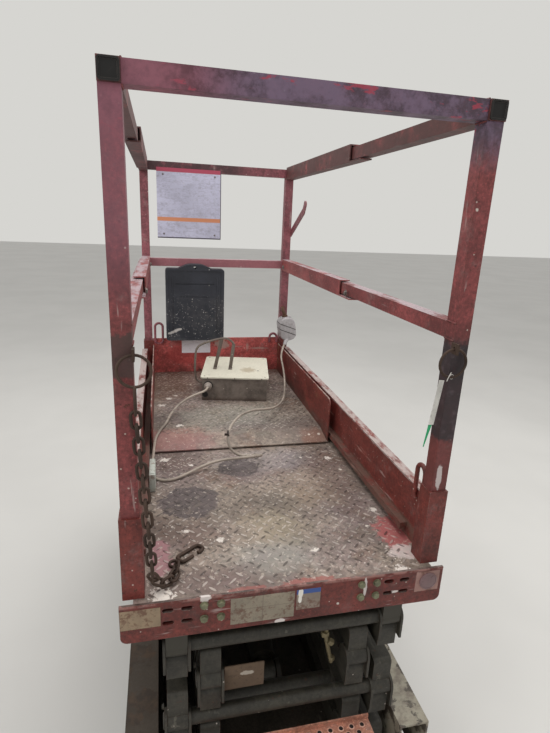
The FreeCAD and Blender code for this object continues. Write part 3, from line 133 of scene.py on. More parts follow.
ARM_PINS, PIN_Y, PLATE_Y = (0.366, 0.483, 0.600, 0.717), -0.780, -0.790
PIPE_Y, PIPE_PLACES = -0.770, ((0.108, 0.812), (0.110, 0.770), (0.130, 0.690))
STEP_TOPS, STEP_REAR = (0.285, 0.535), -0.885
MANUAL_ARCH = 0.022
MANUAL_RECESSES = (((0.19, 0.005), (0.0, 0.285), 0.003), ((0.15, 0.0035), (0.0, 0.222), 0.0024))
BOLT_COLUMNS, BOLT_ROWS = (-0.2077, -0.1692, 0.1733, 0.2128), (0.9637, 0.9272)
TAG_PARTS = (((0.3165, -0.8015, 1.479), (0.303, -0.8015, 1.374), 0.015, "paper"),
             ((0.3035, -0.8022, 1.378), (0.291, -0.8022, 1.320), 0.011, "green"))


# Nodes of a finish

def linear(shade):
    """A screen colour, each channel 0 to 1, as a shader takes it."""
    return tuple(v / 12.92 if v <= 0.04045 else ((v + 0.055) / 1.055) ** 2.4 for v in shade) + (1.0,)


def tint(*shade):
    """A screen colour given as 0 to 255."""
    return linear([v / 255 for v in shade])


class Finish:
    """The nodes of one material, added one after the other."""

    def __init__(self, name):
        self.material = bpy.data.materials.new(name)
        self.material.use_nodes = True
        self.tree = self.material.node_tree
        self.tree.nodes.clear()
        self.output = self.node("OutputMaterial")
        self.shader = self.node("BsdfPrincipled")
        self.tree.links.new(self.shader.outputs[0], self.output.inputs[0])
        self.place = self.node("TexCoord").outputs["Object"]
        self.xyz = self.node("SeparateXYZ")
        self.tree.links.new(self.place, self.xyz.inputs[0])

    def node(self, kind, **settings):
        made = self.tree.nodes.new("ShaderNode" + kind)
        for key, value in settings.items():
            setattr(made, key, value)
        return made

    def feed(self, socket, value):
        if isinstance(value, bpy.types.NodeSocket):
            self.tree.links.new(value, socket)
        else:
            socket.default_value = value

    def axis(self, index):
        return self.xyz.outputs[index]

    def math(self, operation, first, second=0.0, third=0.0):
        made = self.node("Math", operation=operation)
        for socket, value in zip(made.inputs, (first, second, third)):
            self.feed(socket, value)
        return made.outputs[0]

    def both(self, *shares):
        result = shares[0]
        for share in shares[1:]:
            result = self.math("MULTIPLY", result, share)
        return result

    def either(self, *shares):
        result = shares[0]
        for share in shares[1:]:
            result = self.math("MAXIMUM", result, share)
        return result

    def mix(self, share, first, second, way="MIX"):
        made = self.node("Mix", data_type="RGBA", blend_type=way)
        self.feed(made.inputs[0], share)
        self.feed(made.inputs[6], first)
        self.feed(made.inputs[7], second)
        return made.outputs[2]

    def spread(self, stretch, shift):
        made = self.node("Mapping")
        self.feed(made.inputs[0], self.place)
        made.inputs[1].default_value = shift
        made.inputs[3].default_value = stretch
        return made.outputs[0]

    def noise(self, scale, detail=4.0, rough=0.6, stretch=(1, 1, 1), shift=(0, 0, 0)):
        made = self.node("TexNoise")
        self.feed(made.inputs["Vector"], self.spread(stretch, shift))
        made.inputs["Scale"].default_value = scale
        made.inputs["Detail"].default_value = detail
        made.inputs["Roughness"].default_value = rough
        return made.outputs["Fac"]

    def cells(self, scale, stretch=(1, 1, 1), shift=(0, 0, 0), output="Distance"):
        made = self.node("TexVoronoi")
        self.feed(made.inputs["Vector"], self.spread(stretch, shift))
        made.inputs["Scale"].default_value = scale
        return made.outputs[output]

    def ramp(self, value, low, high, start=0.0, end=1.0):
        """Runs smoothly from start at low to end at high."""
        made = self.node("MapRange", interpolation_type="SMOOTHSTEP")
        for socket, number in zip(made.inputs, (value, low, high, start, end)):
            self.feed(socket, number)
        return made.outputs[0]

    def band(self, index, low, high, soft=0.01):
        value = self.axis(index)
        return self.both(self.ramp(value, low - soft, low + soft), self.ramp(value, high - soft, high + soft, 1, 0))

    def room(self, low, high, soft=0.002):
        """1 inside a box, 0 outside."""
        return self.both(*(self.band(i, low[i], high[i], soft) for i in range(3)))

    def blot(self, place, size, ragged=0.5, grain=18.0, soft=0.12):
        """A ragged patch round a place, as large as size each way."""
        away = self.node("VectorMath", operation="SUBTRACT")
        self.feed(away.inputs[0], self.place)
        away.inputs[1].default_value = place
        scaled = self.node("VectorMath", operation="DIVIDE")
        self.feed(scaled.inputs[0], away.outputs[0])
        scaled.inputs[1].default_value = size
        far = self.node("VectorMath", operation="LENGTH")
        self.feed(far.inputs[0], scaled.outputs[0])
        wander = self.math("MULTIPLY_ADD", self.noise(grain, 5.0, 0.65, shift=place), ragged * 2, -ragged)
        return self.ramp(self.math("ADD", far.outputs["Value"], wander), 1.0 + soft, 1.0 - soft)

    def edges(self, radius, low=0.02, high=0.25):
        """1 on the outer edges of the shape."""
        soft = self.node("Bevel", samples=6)
        soft.inputs["Radius"].default_value = radius
        flat = self.node("NewGeometry")
        alike = self.node("VectorMath", operation="DOT_PRODUCT")
        self.feed(alike.inputs[0], soft.outputs[0])
        self.feed(alike.inputs[1], flat.outputs["Normal"])
        return self.ramp(alike.outputs["Value"], 1.0 - low, 1.0 - high)

    def upward(self, low=0.4, high=0.9):
        normal = self.node("SeparateXYZ")
        self.feed(normal.inputs[0], self.node("NewGeometry").outputs["Normal"])
        return self.ramp(normal.outputs[2], low, high)

    def splashes(self, scale, few=0.7, size=0.16, shift=(0, 0, 0)):
        """Small round specks, where few is the share of the cells that stay clean."""
        made = self.node("TexVoronoi")
        self.feed(made.inputs["Vector"], self.spread((1, 1, 1), shift))
        made.inputs["Scale"].default_value = scale
        chance = self.node("SeparateColor")
        self.feed(chance.inputs[0], made.outputs["Color"])
        wobble = self.math("MULTIPLY_ADD", self.noise(scale * 3, 2.0), 0.16, made.outputs["Distance"])
        spot = self.ramp(wobble, size + 0.12, size + 0.05)
        return self.both(spot, self.ramp(chance.outputs[0], few, few + 0.02))

    def bump(self, height, depth, strength=0.6):
        made = self.node("Bump")
        made.inputs["Strength"].default_value = strength
        made.inputs["Distance"].default_value = depth
        self.feed(made.inputs["Height"], height)
        self.feed(self.shader.inputs["Normal"], made.outputs[0])

    def done(self, shade, rough, metal=0.0, specular=None):
        self.feed(self.shader.inputs["Base Color"], shade)
        self.feed(self.shader.inputs["Roughness"], rough)
        self.feed(self.shader.inputs["Metallic"], metal)
        if specular is not None:
            self.shader.inputs["Specular IOR Level"].default_value = specular
        return self.material


def shift_shade(shade, amount):
    return tuple(min(1.0, v * amount) for v in shade[:3]) + (1.0,)


def worn_paint(name, shade, along=2, fade=0.35, grime=0.5, chips=0.5, specks=0.4, rough=0.48,
               bare=None, dirt=None, shift=(0, 0, 0), patches=None, edge=0.0022, pale=None):
    """Old paint on steel: it varies, fades, is scratched along one axis, chipped at its edges and specked."""
    f = Finish(name)
    colours = bpy.context.scene.lift_colours
    bare = bare or linear(colours.bare_steel)
    rust = linear(colours.rust)
    dirt = dirt or tint(44, 34, 29)
    stretch = tuple(0.12 if i == along else 1.0 for i in range(3))
    broad = f.noise(5.0, 5.0, 0.62, shift=shift)
    medium = f.noise(21.0, 8.0, 0.78, stretch=tuple(0.45 if i == along else 1.0 for i in range(3)), shift=shift)
    fine = f.noise(46.0, 6.0, 0.7, shift=shift)
    base = f.mix(f.ramp(broad, 0.3, 0.72), shift_shade(shade, 0.66), shift_shade(shade, 1.2))
    base = f.mix(f.both(f.ramp(medium, 0.5, 0.62), 0.55), base, shift_shade(shade, 0.4))
    base = f.mix(f.both(f.ramp(medium, 0.48, 0.38), 0.45), base, shift_shade(shade, 1.6))
    base = f.mix(f.both(f.ramp(fine, 0.45, 0.7), 0.5), base, shift_shade(shade, 0.45))
    grain = f.noise(120.0, 4.0, 0.8, shift=shift)
    base = f.mix(f.both(f.ramp(grain, 0.5, 0.64), 0.55), base, shift_shade(shade, 0.3))
    base = f.mix(f.both(f.ramp(grain, 0.46, 0.34), 0.5), base, shift_shade(shade, 1.9))
    pale = pale or linear(colours.chalk)
    rubbed = f.both(f.ramp(f.noise(11.0, 6.0, 0.7, shift=(3, 1, 7)), 0.5, 0.8), f.ramp(fine, 0.4, 0.62), fade)
    base = f.mix(rubbed, base, pale)
    soiled = f.both(f.ramp(f.noise(3.2, 6.0, 0.75, shift=(9, 4, 2)), 0.48, 0.72), grime)
    base = f.mix(soiled, base, dirt)
    lines = f.ramp(f.noise(70.0, 3.0, 0.5, stretch=stretch, shift=shift), 0.64, 0.7)
    lines = f.both(lines, f.ramp(f.noise(6.0, 3.0, 0.6, shift=(1, 8, 3)), 0.46, 0.6), 0.55)
    base = f.mix(lines, base, pale)
    chip = f.ramp(f.noise(38.0, 7.0, 0.72, shift=(5, 5, 1)), 0.66 - 0.1 * chips, 0.7 - 0.1 * chips)
    worn_edge = f.both(f.edges(edge), f.ramp(f.noise(24.0, 6.0, 0.7, shift=(2, 6, 6)), 0.56 - 0.25 * chips, 0.62 - 0.2 * chips))
    chip = f.both(chip, f.ramp(broad, 0.5, 0.62))
    base = f.mix(chip, base, rust)
    base = f.mix(worn_edge, base, f.mix(f.ramp(fine, 0.42, 0.6), bare, rust))
    if specks:
        base = f.mix(f.both(f.splashes(34.0, 1.0 - 0.16 * specks, 0.1, shift), 0.85), base, tint(214, 208, 198))
        base = f.mix(f.both(f.splashes(75.0, 1.0 - 0.24 * specks, 0.13, shift), 0.7), base, tint(206, 194, 184))
        base = f.mix(f.both(f.splashes(68.0, 1.0 - 0.3 * specks, 0.14, (4, 7, 2)), 0.6), base, shift_shade(shade, 0.2))
    if patches:
        base = patches(f, base)
    height = f.math("MULTIPLY_ADD", f.either(chip, worn_edge), -0.8, f.both(f.noise(160.0, 3.0, 0.5), 0.35))
    f.bump(height, 0.0006)
    dull = f.math("MULTIPLY_ADD", f.either(soiled, chip, worn_edge), 0.28, rough)
    return f.done(base, f.math("MULTIPLY_ADD", fine, 0.12, dull), 0.0)


# Modelling by hand

def drop_all():
    if bpy.context.mode != "OBJECT":
        bpy.ops.object.mode_set(mode="OBJECT")
    bpy.ops.object.select_all(action="DESELECT")


def hold(*pieces):
    drop_all()
    for piece in pieces:
        piece.select_set(True)
    bpy.context.view_layer.objects.active = pieces[0]


def settle(piece):
    """Moves the piece's place, turn and size into its mesh."""
    hold(piece)
    bpy.ops.object.transform_apply(location=True, rotation=True, scale=True)
    return piece


def pick(piece, test, kind="FACE"):
    """In edit mode, selects the faces, edges or points that pass the test."""
    hold(piece)
    bpy.ops.object.mode_set(mode="EDIT")
    bpy.ops.mesh.select_mode(type=kind)
    bpy.ops.mesh.select_all(action="DESELECT")
    shape = bmesh.from_edit_mesh(piece.data)
    for part in {"FACE": shape.faces, "EDGE": shape.edges, "VERT": shape.verts}[kind]:
        if test(part):
            part.select_set(True)
    bmesh.update_edit_mesh(piece.data)


def tidy_normals(piece):
    hold(piece)
    bpy.ops.object.mode_set(mode="EDIT")
    bpy.ops.mesh.select_all(action="SELECT")
    bpy.ops.mesh.remove_doubles(threshold=0.00002)
    bpy.ops.mesh.normals_make_consistent(inside=False)
    bpy.ops.object.mode_set(mode="OBJECT")


def round_edges(piece, radius, steps=2, test=None):
    pick(piece, test or (lambda edge: True), "EDGE")
    bpy.ops.mesh.bevel(offset=radius, offset_type="OFFSET", segments=steps, affect="EDGES")
    bpy.ops.object.mode_set(mode="OBJECT")
    return piece


def block(size, place, turn=(0, 0, 0), edge=0.0006, steps=2):
    drop_all()
    bpy.ops.mesh.primitive_cube_add(size=1, location=place, rotation=turn)
    piece = bpy.context.object
    piece.scale = size
    settle(piece)
    return round_edges(piece, edge, steps) if edge else piece


def slab(low, high, edge=0.0006, steps=2):
    """A bevelled block from its lowest to its highest corner."""
    low, high = Vector(low), Vector(high)
    return block(high - low, (low + high) / 2, edge=edge, steps=steps)


def turned(place, way, rings, sides=32):
    """A round closed piece. Its rings are (radius, distance along way), from one end to the other."""
    drop_all()
    bpy.ops.mesh.primitive_circle_add(vertices=sides, radius=rings[0][0], fill_type="NGON",
                                      location=(0, 0, rings[0][1]))
    piece = settle(bpy.context.object)
    bpy.ops.object.mode_set(mode="EDIT")
    bpy.ops.mesh.select_all(action="SELECT")
    for (last_radius, last_height), (radius, height) in zip(rings, rings[1:]):
        bpy.ops.mesh.extrude_region_move(TRANSFORM_OT_translate={"value": (0, 0, height - last_height)})
        bpy.ops.transform.resize(value=(radius / last_radius, radius / last_radius, 1))
    bpy.ops.object.mode_set(mode="OBJECT")
    tidy_normals(piece)
    piece.matrix_world = Matrix.Translation(place) @ Vector(way).to_track_quat("Z", "Y").to_matrix().to_4x4()
    return settle(piece)


def hex_head(place, way, width, height, washer=1.5):
    """A hexagon bolt head on its washer."""
    radius = width / math.sqrt(3)
    disc = turned(place, way, [(radius * washer * 0.94, 0), (radius * washer, 0.0004), (radius * washer, 0.0014),
                               (radius * washer * 0.94, 0.0018)], 24)
    head = turned(place, way, [(radius, 0.0018), (radius, 0.0018 + height * 0.8), (radius * 0.84, 0.0018 + height)], 6)
    return joined([disc, head])


def wire(points, radius, sides=10, order=3, closed=False):
    """A round bar along a smooth line, as a closed mesh."""
    drop_all()
    data = bpy.data.curves.new("wire", "CURVE")
    data.dimensions = "3D"
    spline = data.splines.new("NURBS")
    spline.points.add(len(points) - 1)
    for point, place in zip(spline.points, points):
        point.co = (*place, 1.0)
    spline.order_u = order
    spline.use_endpoint_u = not closed
    spline.use_cyclic_u = closed
    data.resolution_u = 6
    data.bevel_depth = radius
    data.bevel_resolution = max(1, sides // 4 - 1)
    data.use_fill_caps = not closed
    piece = bpy.data.objects.new("wire", data)
    bpy.context.collection.objects.link(piece)
    hold(piece)
    bpy.ops.object.convert(target="MESH")
    piece = bpy.context.object
    tidy_normals(piece)
    return piece


def copied(piece, shift=(0, 0, 0), matrix=None):
    """A copy with its own mesh, moved."""
    twin = piece.copy()
    twin.data = piece.data.copy()
    bpy.context.collection.objects.link(twin)
    twin.data.transform(matrix or Matrix.Translation(shift))
    return twin


def joined(pieces):
    hold(*pieces)
    if len(pieces) > 1:
        bpy.ops.object.join()
    return bpy.context.object


def add_modifier(piece, kind, **settings):
    hold(piece)
    made = piece.modifiers.new(kind.lower(), kind)
    for key, value in settings.items():
        setattr(made, key, value)
    bpy.ops.object.modifier_apply(modifier=made.name)
    return piece


def finished(piece, name, body, material, angle=35.0):
    """Names the piece, gives it its finish and lets it ride on its CAD body."""
    piece.name = name
    piece.data.name = name
    piece.data.materials.clear()
    piece.data.materials.append(material)
    if piece.type == "MESH":
        hold(piece)
        bpy.ops.object.shade_smooth_by_angle(angle=math.radians(angle))
    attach(piece, body)
    return piece


def dress(material, *names):
    """Gives CAD nodes a finish."""
    for name in names:
        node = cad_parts[name]
        node.data.materials.clear()
        node.data.materials.append(material)


def operator(label, idname):
    """Turns a function into the operator of one piece or group."""
    def wrap(function):
        def execute(self, context):
            function(context.scene.lift_sizes, context.scene.lift_colours)
            return {"FINISHED"}
        kind = type("LIFT_OT_" + idname, (bpy.types.Operator,), {
            "__doc__": function.__doc__, "bl_idname": "lift." + idname, "bl_label": label,
            "bl_options": {"REGISTER", "UNDO"}, "execute": execute})
        OPERATORS.append(kind)
        return function
    return wrap


OPERATORS = []


def plain_finish(name, shade, rough, metal=0.0, vary=0.2, grain=30.0, specks=0.3, grime=None, patches=None):
    """A moulded, plated or bare surface that is soiled and specked a little."""
    f = Finish(name)
    broad = f.noise(grain * 0.3, 4.0, 0.6)
    fine = f.noise(grain * 3, 5.0, 0.7)
    base = f.mix(f.ramp(broad, 0.3, 0.7), shift_shade(shade, 1 - vary), shift_shade(shade, 1 + vary))
    base = f.mix(f.both(f.ramp(fine, 0.5, 0.72), 0.6), base, grime or shift_shade(shade, 0.5))
    if specks:
        base = f.mix(f.both(f.splashes(60.0, 1.0 - 0.2 * specks, 0.1), 0.8), base, tint(216, 210, 200))
    if patches:
        base = patches(f, base)
    f.bump(fine, 0.0003, 0.4)
    return f.done(base, f.math("MULTIPLY_ADD", broad, 0.2, rough), metal)


def cut(piece, tool):
    """Cuts the tool's shape out of the piece."""
    add_modifier(piece, "BOOLEAN", operation="DIFFERENCE", object=tool, solver="EXACT")
    bpy.data.objects.remove(tool)
    tidy_normals(piece)
    return piece


def label(name, body, low, high, material):
    """A blank label of thin film between two corners."""
    return finished(slab(low, high, edge=0.0002, steps=1), name, body, material, 30)


@operator("Stage and camera", "stage")
def make_stage(sizes, colours):
    """Adds the floor, the soft lamps, the pale world and the camera of the photograph"""
    scene = bpy.context.scene
    drop_all()
    bpy.ops.mesh.primitive_plane_add(size=60, location=(0, 0, 0))
    floor = bpy.context.object
    floor.name = "floor"
    f = Finish("studio_floor")
    f.feed(f.shader.inputs["Base Color"], f.mix(f.ramp(f.noise(0.8, 3.0), 0.3, 0.7), tint(204, 203, 200), tint(210, 209, 206)))
    f.shader.inputs["Roughness"].default_value = 0.85
    floor.data.materials.append(f.material)

    world = bpy.data.worlds.new("studio")
    scene.world = world
    world.use_nodes = True
    tree = world.node_tree
    tree.nodes.clear()
    seen = tree.nodes.new("ShaderNodeLightPath")
    ways = [seen.outputs["Is Camera Ray"], seen.outputs["Is Glossy Ray"], seen.outputs["Is Transmission Ray"]]
    first = tree.nodes.new("ShaderNodeMath")
    second = tree.nodes.new("ShaderNodeMath")
    for adder in (first, second):
        adder.operation = "MAXIMUM"
    tree.links.new(ways[0], first.inputs[0])
    tree.links.new(ways[1], first.inputs[1])
    tree.links.new(first.outputs[0], second.inputs[0])
    tree.links.new(ways[2], second.inputs[1])
    lights, backdrop = tree.nodes.new("ShaderNodeBackground"), tree.nodes.new("ShaderNodeBackground")
    lights.inputs["Color"].default_value = (1.0, 0.99, 0.97, 1.0)
    lights.inputs["Strength"].default_value = 0.62
    backdrop.inputs["Color"].default_value = tint(214, 213, 209)
    backdrop.inputs["Strength"].default_value = 1.0
    mixed = tree.nodes.new("ShaderNodeMixShader")
    output = tree.nodes.new("ShaderNodeOutputWorld")
    tree.links.new(second.outputs[0], mixed.inputs[0])
    tree.links.new(lights.outputs[0], mixed.inputs[1])
    tree.links.new(backdrop.outputs[0], mixed.inputs[2])
    tree.links.new(mixed.outputs[0], output.inputs[0])

    for name, place, size, power in (
            ("lamp_over", (0.3, 0.6, 5.2), 3.4, 122.0),
            ("lamp_left", (-3.6, -2.2, 4.2), 2.6, 66.0),
            ("lamp_right", (3.8, -0.6, 4.0), 2.6, 46.0)):
        data = bpy.data.lights.new(name, "AREA")
        data.shape = "SQUARE"
        data.size = size
        data.energy = power
        data.color = (1.0, 0.985, 0.96)
        lamp = bpy.data.objects.new(name, data)
        lamp.location = place
        lamp.rotation_euler = (Vector((0, 0, 0.9)) - Vector(place)).to_track_quat("-Z", "Y").to_euler()
        scene.collection.objects.link(lamp)

    forward = Vector((math.sin(CAMERA_YAW) * math.cos(CAMERA_PITCH),
                      math.cos(CAMERA_YAW) * math.cos(CAMERA_PITCH), -math.sin(CAMERA_PITCH)))
    level = Vector((math.cos(CAMERA_YAW), -math.sin(CAMERA_YAW), 0.0))
    plumb = level.cross(forward)
    right = level * math.cos(CAMERA_ROLL) + plumb * math.sin(CAMERA_ROLL)
    up = plumb * math.cos(CAMERA_ROLL) - level * math.sin(CAMERA_ROLL)
    data = bpy.data.cameras.new("camera")
    data.sensor_width = SENSOR_WIDTH
    data.lens = FOCAL_PIXELS * SENSOR_WIDTH / LONG_SIDE_PIXELS
    camera = bpy.data.objects.new("camera", data)
    scene.collection.objects.link(camera)
    turn = Matrix((right, up, -forward)).transposed()
    camera.matrix_world = Matrix.Translation(CAMERA_PLACE) @ turn.to_4x4()
    scene.camera = camera
    scene.view_settings.view_transform = "Standard"


# The control cord's route, the control points of one smooth line
CORD_ROUTE = (
    (-0.0955, 0.326, 1.086), (-0.104, 0.281, 1.087), (-0.168, 0.240, 1.082), (-0.222, 0.215, 1.058),
    (-0.260, 0.165, 1.034), (-0.276, 0.105, 1.022), (-0.300, 0.045, 1.0208), (-0.316, -0.020, 1.0212),
    (-0.321, -0.090, 1.027), (-0.324, -0.160, 1.022), (-0.329, -0.217, 0.996), (-0.320, -0.274, 0.9896),
    (-0.272, -0.292, 0.9898), (-0.214, -0.260, 0.9935), (-0.155, -0.226, 1.004), (-0.095, -0.223, 1.017),
    (-0.037, -0.242, 1.029), (0.014, -0.243, 1.032), (0.0435, -0.2155, 1.020), (0.0435, -0.1785, 1.003),
    (0.0145, -0.155, 0.991), (-0.024, -0.1555, 0.9915), (-0.058, -0.1555, 1.0165), (-0.068, -0.135, 1.050),
    (-0.057, -0.098, 1.072), (-0.032, -0.050, 1.083), (0.002, -0.006, 1.090), (0.056, 0.036, 1.089),
    (0.118, 0.092, 1.066), (0.175, 0.160, 1.044), (0.230, 0.250, 1.036), (0.262, 0.345, 1.046),
    (0.284, 0.440, 1.068), (0.300, 0.535, 1.098), (0.300, 0.622, 1.151), (0.330, 0.664, 1.188),
)


@operator("Control cord", "cord")
def make_cord(sizes, colours):
    """Adds the control cord from the box over the deck to the outlet on the front post"""
    data = bpy.data.curves.new("cord", "CURVE")
    data.dimensions = "3D"
    spline = data.splines.new("NURBS")
    spline.points.add(len(CORD_ROUTE) - 1)
    for point, place in zip(spline.points, CORD_ROUTE):
        point.co = (*place, 1.0)
    spline.order_u = 3
    spline.use_endpoint_u = True
    data.resolution_u = 12
    data.bevel_depth = sizes.cord_diameter / 2
    data.bevel_resolution = 4
    data.use_fill_caps = True
    piece = bpy.data.objects.new("cord", data)
    bpy.context.collection.objects.link(piece)
    f = Finish("cord_jacket")
    jacket = linear(colours.cord)
    shade = f.mix(f.ramp(f.noise(9.0, 5.0, 0.65), 0.4, 0.66), jacket, shift_shade(jacket, 0.62))
    shade = f.mix(f.both(f.ramp(f.noise(60.0, 4.0, 0.6), 0.55, 0.7), 0.6), shade, tint(104, 88, 80))
    shade = f.mix(f.both(f.splashes(70.0, 0.86, 0.12), 0.8), shade, tint(222, 216, 206))
    f.bump(f.noise(420.0, 2.0, 0.5), 0.0003, 0.4)
    material = f.done(shade, 0.55)
    piece.data.materials.append(material)
    piece.data.name = "control_cord_line"
    piece.name = "control_cord_line"
    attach(piece, "extension")
    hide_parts("control_cord")

    def split(f, base):
        return f.mix(f.ramp(f.noise(60.0, 6.0, 0.7), 0.5, 0.64), base, tint(150, 140, 128))

    nylon = plain_finish("connector_nylon", tint(186, 192, 184), 0.5, vary=0.06, specks=0.3,
                         grime=tint(150, 144, 134), patches=split)
    low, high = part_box("cord_connector")
    shell = slab((low[0] - 0.001, -0.346, low[2] + 0.0016), (high[0] - 0.006, high[1], high[2] - 0.004), edge=0.0024)
    seam = slab((low[0] - 0.0018, -0.300, low[2] + 0.0018), (high[0] - 0.0052, -0.296, high[2] - 0.0034), edge=0.0004)
    lid = slab((low[0] + 0.001, -0.340, high[2] - 0.0045), (high[0] - 0.008, high[1] - 0.006, high[2] - 0.002),
               edge=0.001)
    case = joined([shell, seam, lid])
    finished(case, "cord_case", "extension", nylon, 30)
    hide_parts("cord_connector")


@operator("Painted steel", "paint")
def make_paint(sizes, colours):
    """Gives the CAD parts their worn paint, steel, rubber and plastic finishes"""
    red, board = linear(colours.frame_red), linear(colours.board_red)
    front, top, pale = linear(colours.front_red), linear(colours.rail_top), linear(colours.chalk)
    rust = linear(colours.rust)

    def entry_patches(f, base):
        rough = f.noise(26.0, 6.0, 0.7)
        broken = f.noise(17.0, 8.0, 0.78)
        purple = f.mix(f.ramp(broken, 0.38, 0.6), shift_shade(top, 0.42), shift_shade(top, 1.25))
        purple = f.mix(f.ramp(f.axis(0), -0.1, -0.3), purple, f.mix(f.ramp(broken, 0.4, 0.6), tint(96, 44, 56),
                                                                  tint(150, 84, 98)))
        scraped = f.ramp(f.noise(30.0, 7.0, 0.7, stretch=(0.4, 1, 1), shift=(2, 9, 4)), 0.58, 0.63)
        purple = f.mix(f.both(scraped, 0.8), purple, tint(178, 62, 84))
        under = f.both(f.ramp(f.axis(2), 1.992, 1.984), f.ramp(f.noise(40.0, 6.0, 0.7), 0.42, 0.52))
        purple = f.mix(f.both(under, f.band(0, -0.32, 0.32, 0.01), 0.8), purple, tint(62, 48, 44))
        base = f.mix(f.both(f.ramp(f.axis(2), 1.9, 1.99), 0.9), base, purple)
        left = f.ramp(f.axis(0), -0.2, -0.3)
        right = f.ramp(f.axis(0), 0.2, 0.3)
        base = f.mix(f.both(left, f.ramp(f.axis(2), 1.58, 1.8), 0.5), base, tint(148, 100, 116))
        lower = f.math("MULTIPLY_ADD", rough, 0.05, -0.025)
        height = f.math("ADD", f.axis(2), lower)
        dark = f.both(f.ramp(height, 1.492, 1.5), f.ramp(height, 1.592, 1.584))
        base = f.mix(f.both(left, dark, 0.85), base, tint(74, 58, 55))
        foot = f.both(left, f.ramp(height, 1.30, 1.05), f.ramp(rough, 0.4, 0.6))
        base = f.mix(f.both(foot, 0.6), base, tint(88, 42, 34))
        black = f.both(f.ramp(height, 1.312, 1.33), f.ramp(height, 1.57, 1.55))
        base = f.mix(f.both(right, black, 0.93), base, f.mix(f.ramp(rough, 0.5, 0.7), tint(40, 37, 41),
                                                           tint(76, 68, 74)))
        base = f.mix(f.both(right, f.ramp(height, 1.33, 1.31), 0.55), base, tint(96, 50, 46))
        streak = f.blot((0.357, -0.785, 1.228), (0.007, 0.03, 0.034), 0.7, 60.0)
        base = f.mix(f.both(streak, 0.85), base, tint(206, 196, 194))
        return base

    def rail_patches(f, base):
        rough = f.noise(20.0, 7.0, 0.72, stretch=(1, 0.3, 1))
        ragged = f.ramp(rough, 0.4, 0.54)
        base = f.mix(f.both(f.upward(0.6, 0.95), ragged, 0.72), base, tint(172, 162, 168))
        high = f.ramp(f.axis(2), 1.9, 1.98)
        # Sides and undersides of the upper rails turn dark brown: painted shade.
        side = f.both(high, f.upward(0.5, 0.2), f.ramp(f.noise(11.0, 7.0, 0.7), 0.3, 0.5))
        base = f.mix(f.both(side, 0.8), base, tint(66, 44, 42))
        return f.mix(f.both(high, f.upward(0.6, 0.95), f.ramp(rough, 0.3, 0.42), 0.8), base, tint(176, 172, 184))

    def front_patches(f, base):
        rough = f.noise(22.0, 7.0, 0.72)
        base = f.mix(f.both(f.band(2, 1.56, 1.61, 0.003), 0.6), base, tint(168, 110, 118))
        high = f.both(f.ramp(f.axis(2), 2.0, 2.012), f.ramp(f.axis(0), 0.2, 0.05), f.ramp(rough, 0.34, 0.5))
        base = f.mix(f.both(high, 0.85), base, tint(62, 42, 46))
        base = f.mix(f.both(f.upward(0.6, 0.95), f.ramp(rough, 0.4, 0.6), 0.7), base, tint(196, 176, 182))
        return f.mix(f.both(f.ramp(f.axis(2), 1.3, 1.16), f.ramp(rough, 0.42, 0.6), 0.6), base, tint(96, 48, 44))

    def side_patches(f, base):
        rough = f.noise(30.0, 7.0, 0.75, stretch=(1, 0.35, 1))
        flange = f.ramp(f.axis(2), 1.1425, 1.1435)
        base = f.mix(f.both(flange, f.ramp(rough, 0.38, 0.54), 0.82), base, tint(178, 166, 162))
        under = f.both(f.band(2, 0.98, 1.032, 0.006), f.ramp(rough, 0.34, 0.54))
        base = f.mix(f.both(under, 0.85), base, tint(100, 78, 68))
        scrape = f.both(f.ramp(f.noise(60.0, 4.0, 0.6, stretch=(1, 0.06, 1), shift=(3, 3, 3)), 0.6, 0.66),
                        f.ramp(f.noise(5.0, 3.0), 0.48, 0.6))
        return f.mix(f.both(scrape, 0.6), base, tint(190, 150, 140))

    def board_patches(f, base):
        rough = f.noise(24.0, 7.0, 0.72)
        peel = f.either(f.blot((0.020, 0.796, 1.163), (0.036, 0.03, 0.024), 1.4, 60.0, 0.3),
                        f.both(f.blot((0.215, 0.796, 1.138), (0.05, 0.03, 0.005), 1.2, 60.0, 0.4), 0.6),
                        f.both(f.blot((0.160, 0.796, 1.150), (0.006, 0.03, 0.02), 1.2, 60.0, 0.4), 0.6))
        base = f.mix(f.both(peel, 0.75), base, tint(186, 168, 158))
        foot = f.both(f.ramp(f.axis(2), 1.075, 1.02), f.ramp(rough, 0.36, 0.6))
        base = f.mix(f.both(foot, 0.7), base, tint(74, 48, 42))
        bright = f.blot((-0.16, 0.796, 1.11), (0.12, 0.3, 0.05), 0.5, 14.0)
        return f.mix(f.both(bright, 0.4), base, tint(168, 52, 50))

    def extension_board_patches(f, base):
        rough = f.noise(28.0, 7.0, 0.75, stretch=(1, 0.5, 1))
        rim = f.both(f.ramp(f.axis(2), 1.160, 1.163), f.ramp(rough, 0.4, 0.55))
        base = f.mix(f.both(rim, 0.7), base, tint(176, 158, 150))
        green = f.both(f.ramp(f.noise(7.0, 6.0, 0.7, shift=(3, 5, 1)), 0.5, 0.7), f.ramp(rough, 0.45, 0.62))
        base = f.mix(f.both(green, 0.45), base, tint(150, 128, 92))
        foot = f.both(f.ramp(f.axis(2), 1.07, 1.02), f.ramp(rough, 0.36, 0.56))
        return f.mix(f.both(foot, 0.8), base, tint(70, 52, 44))

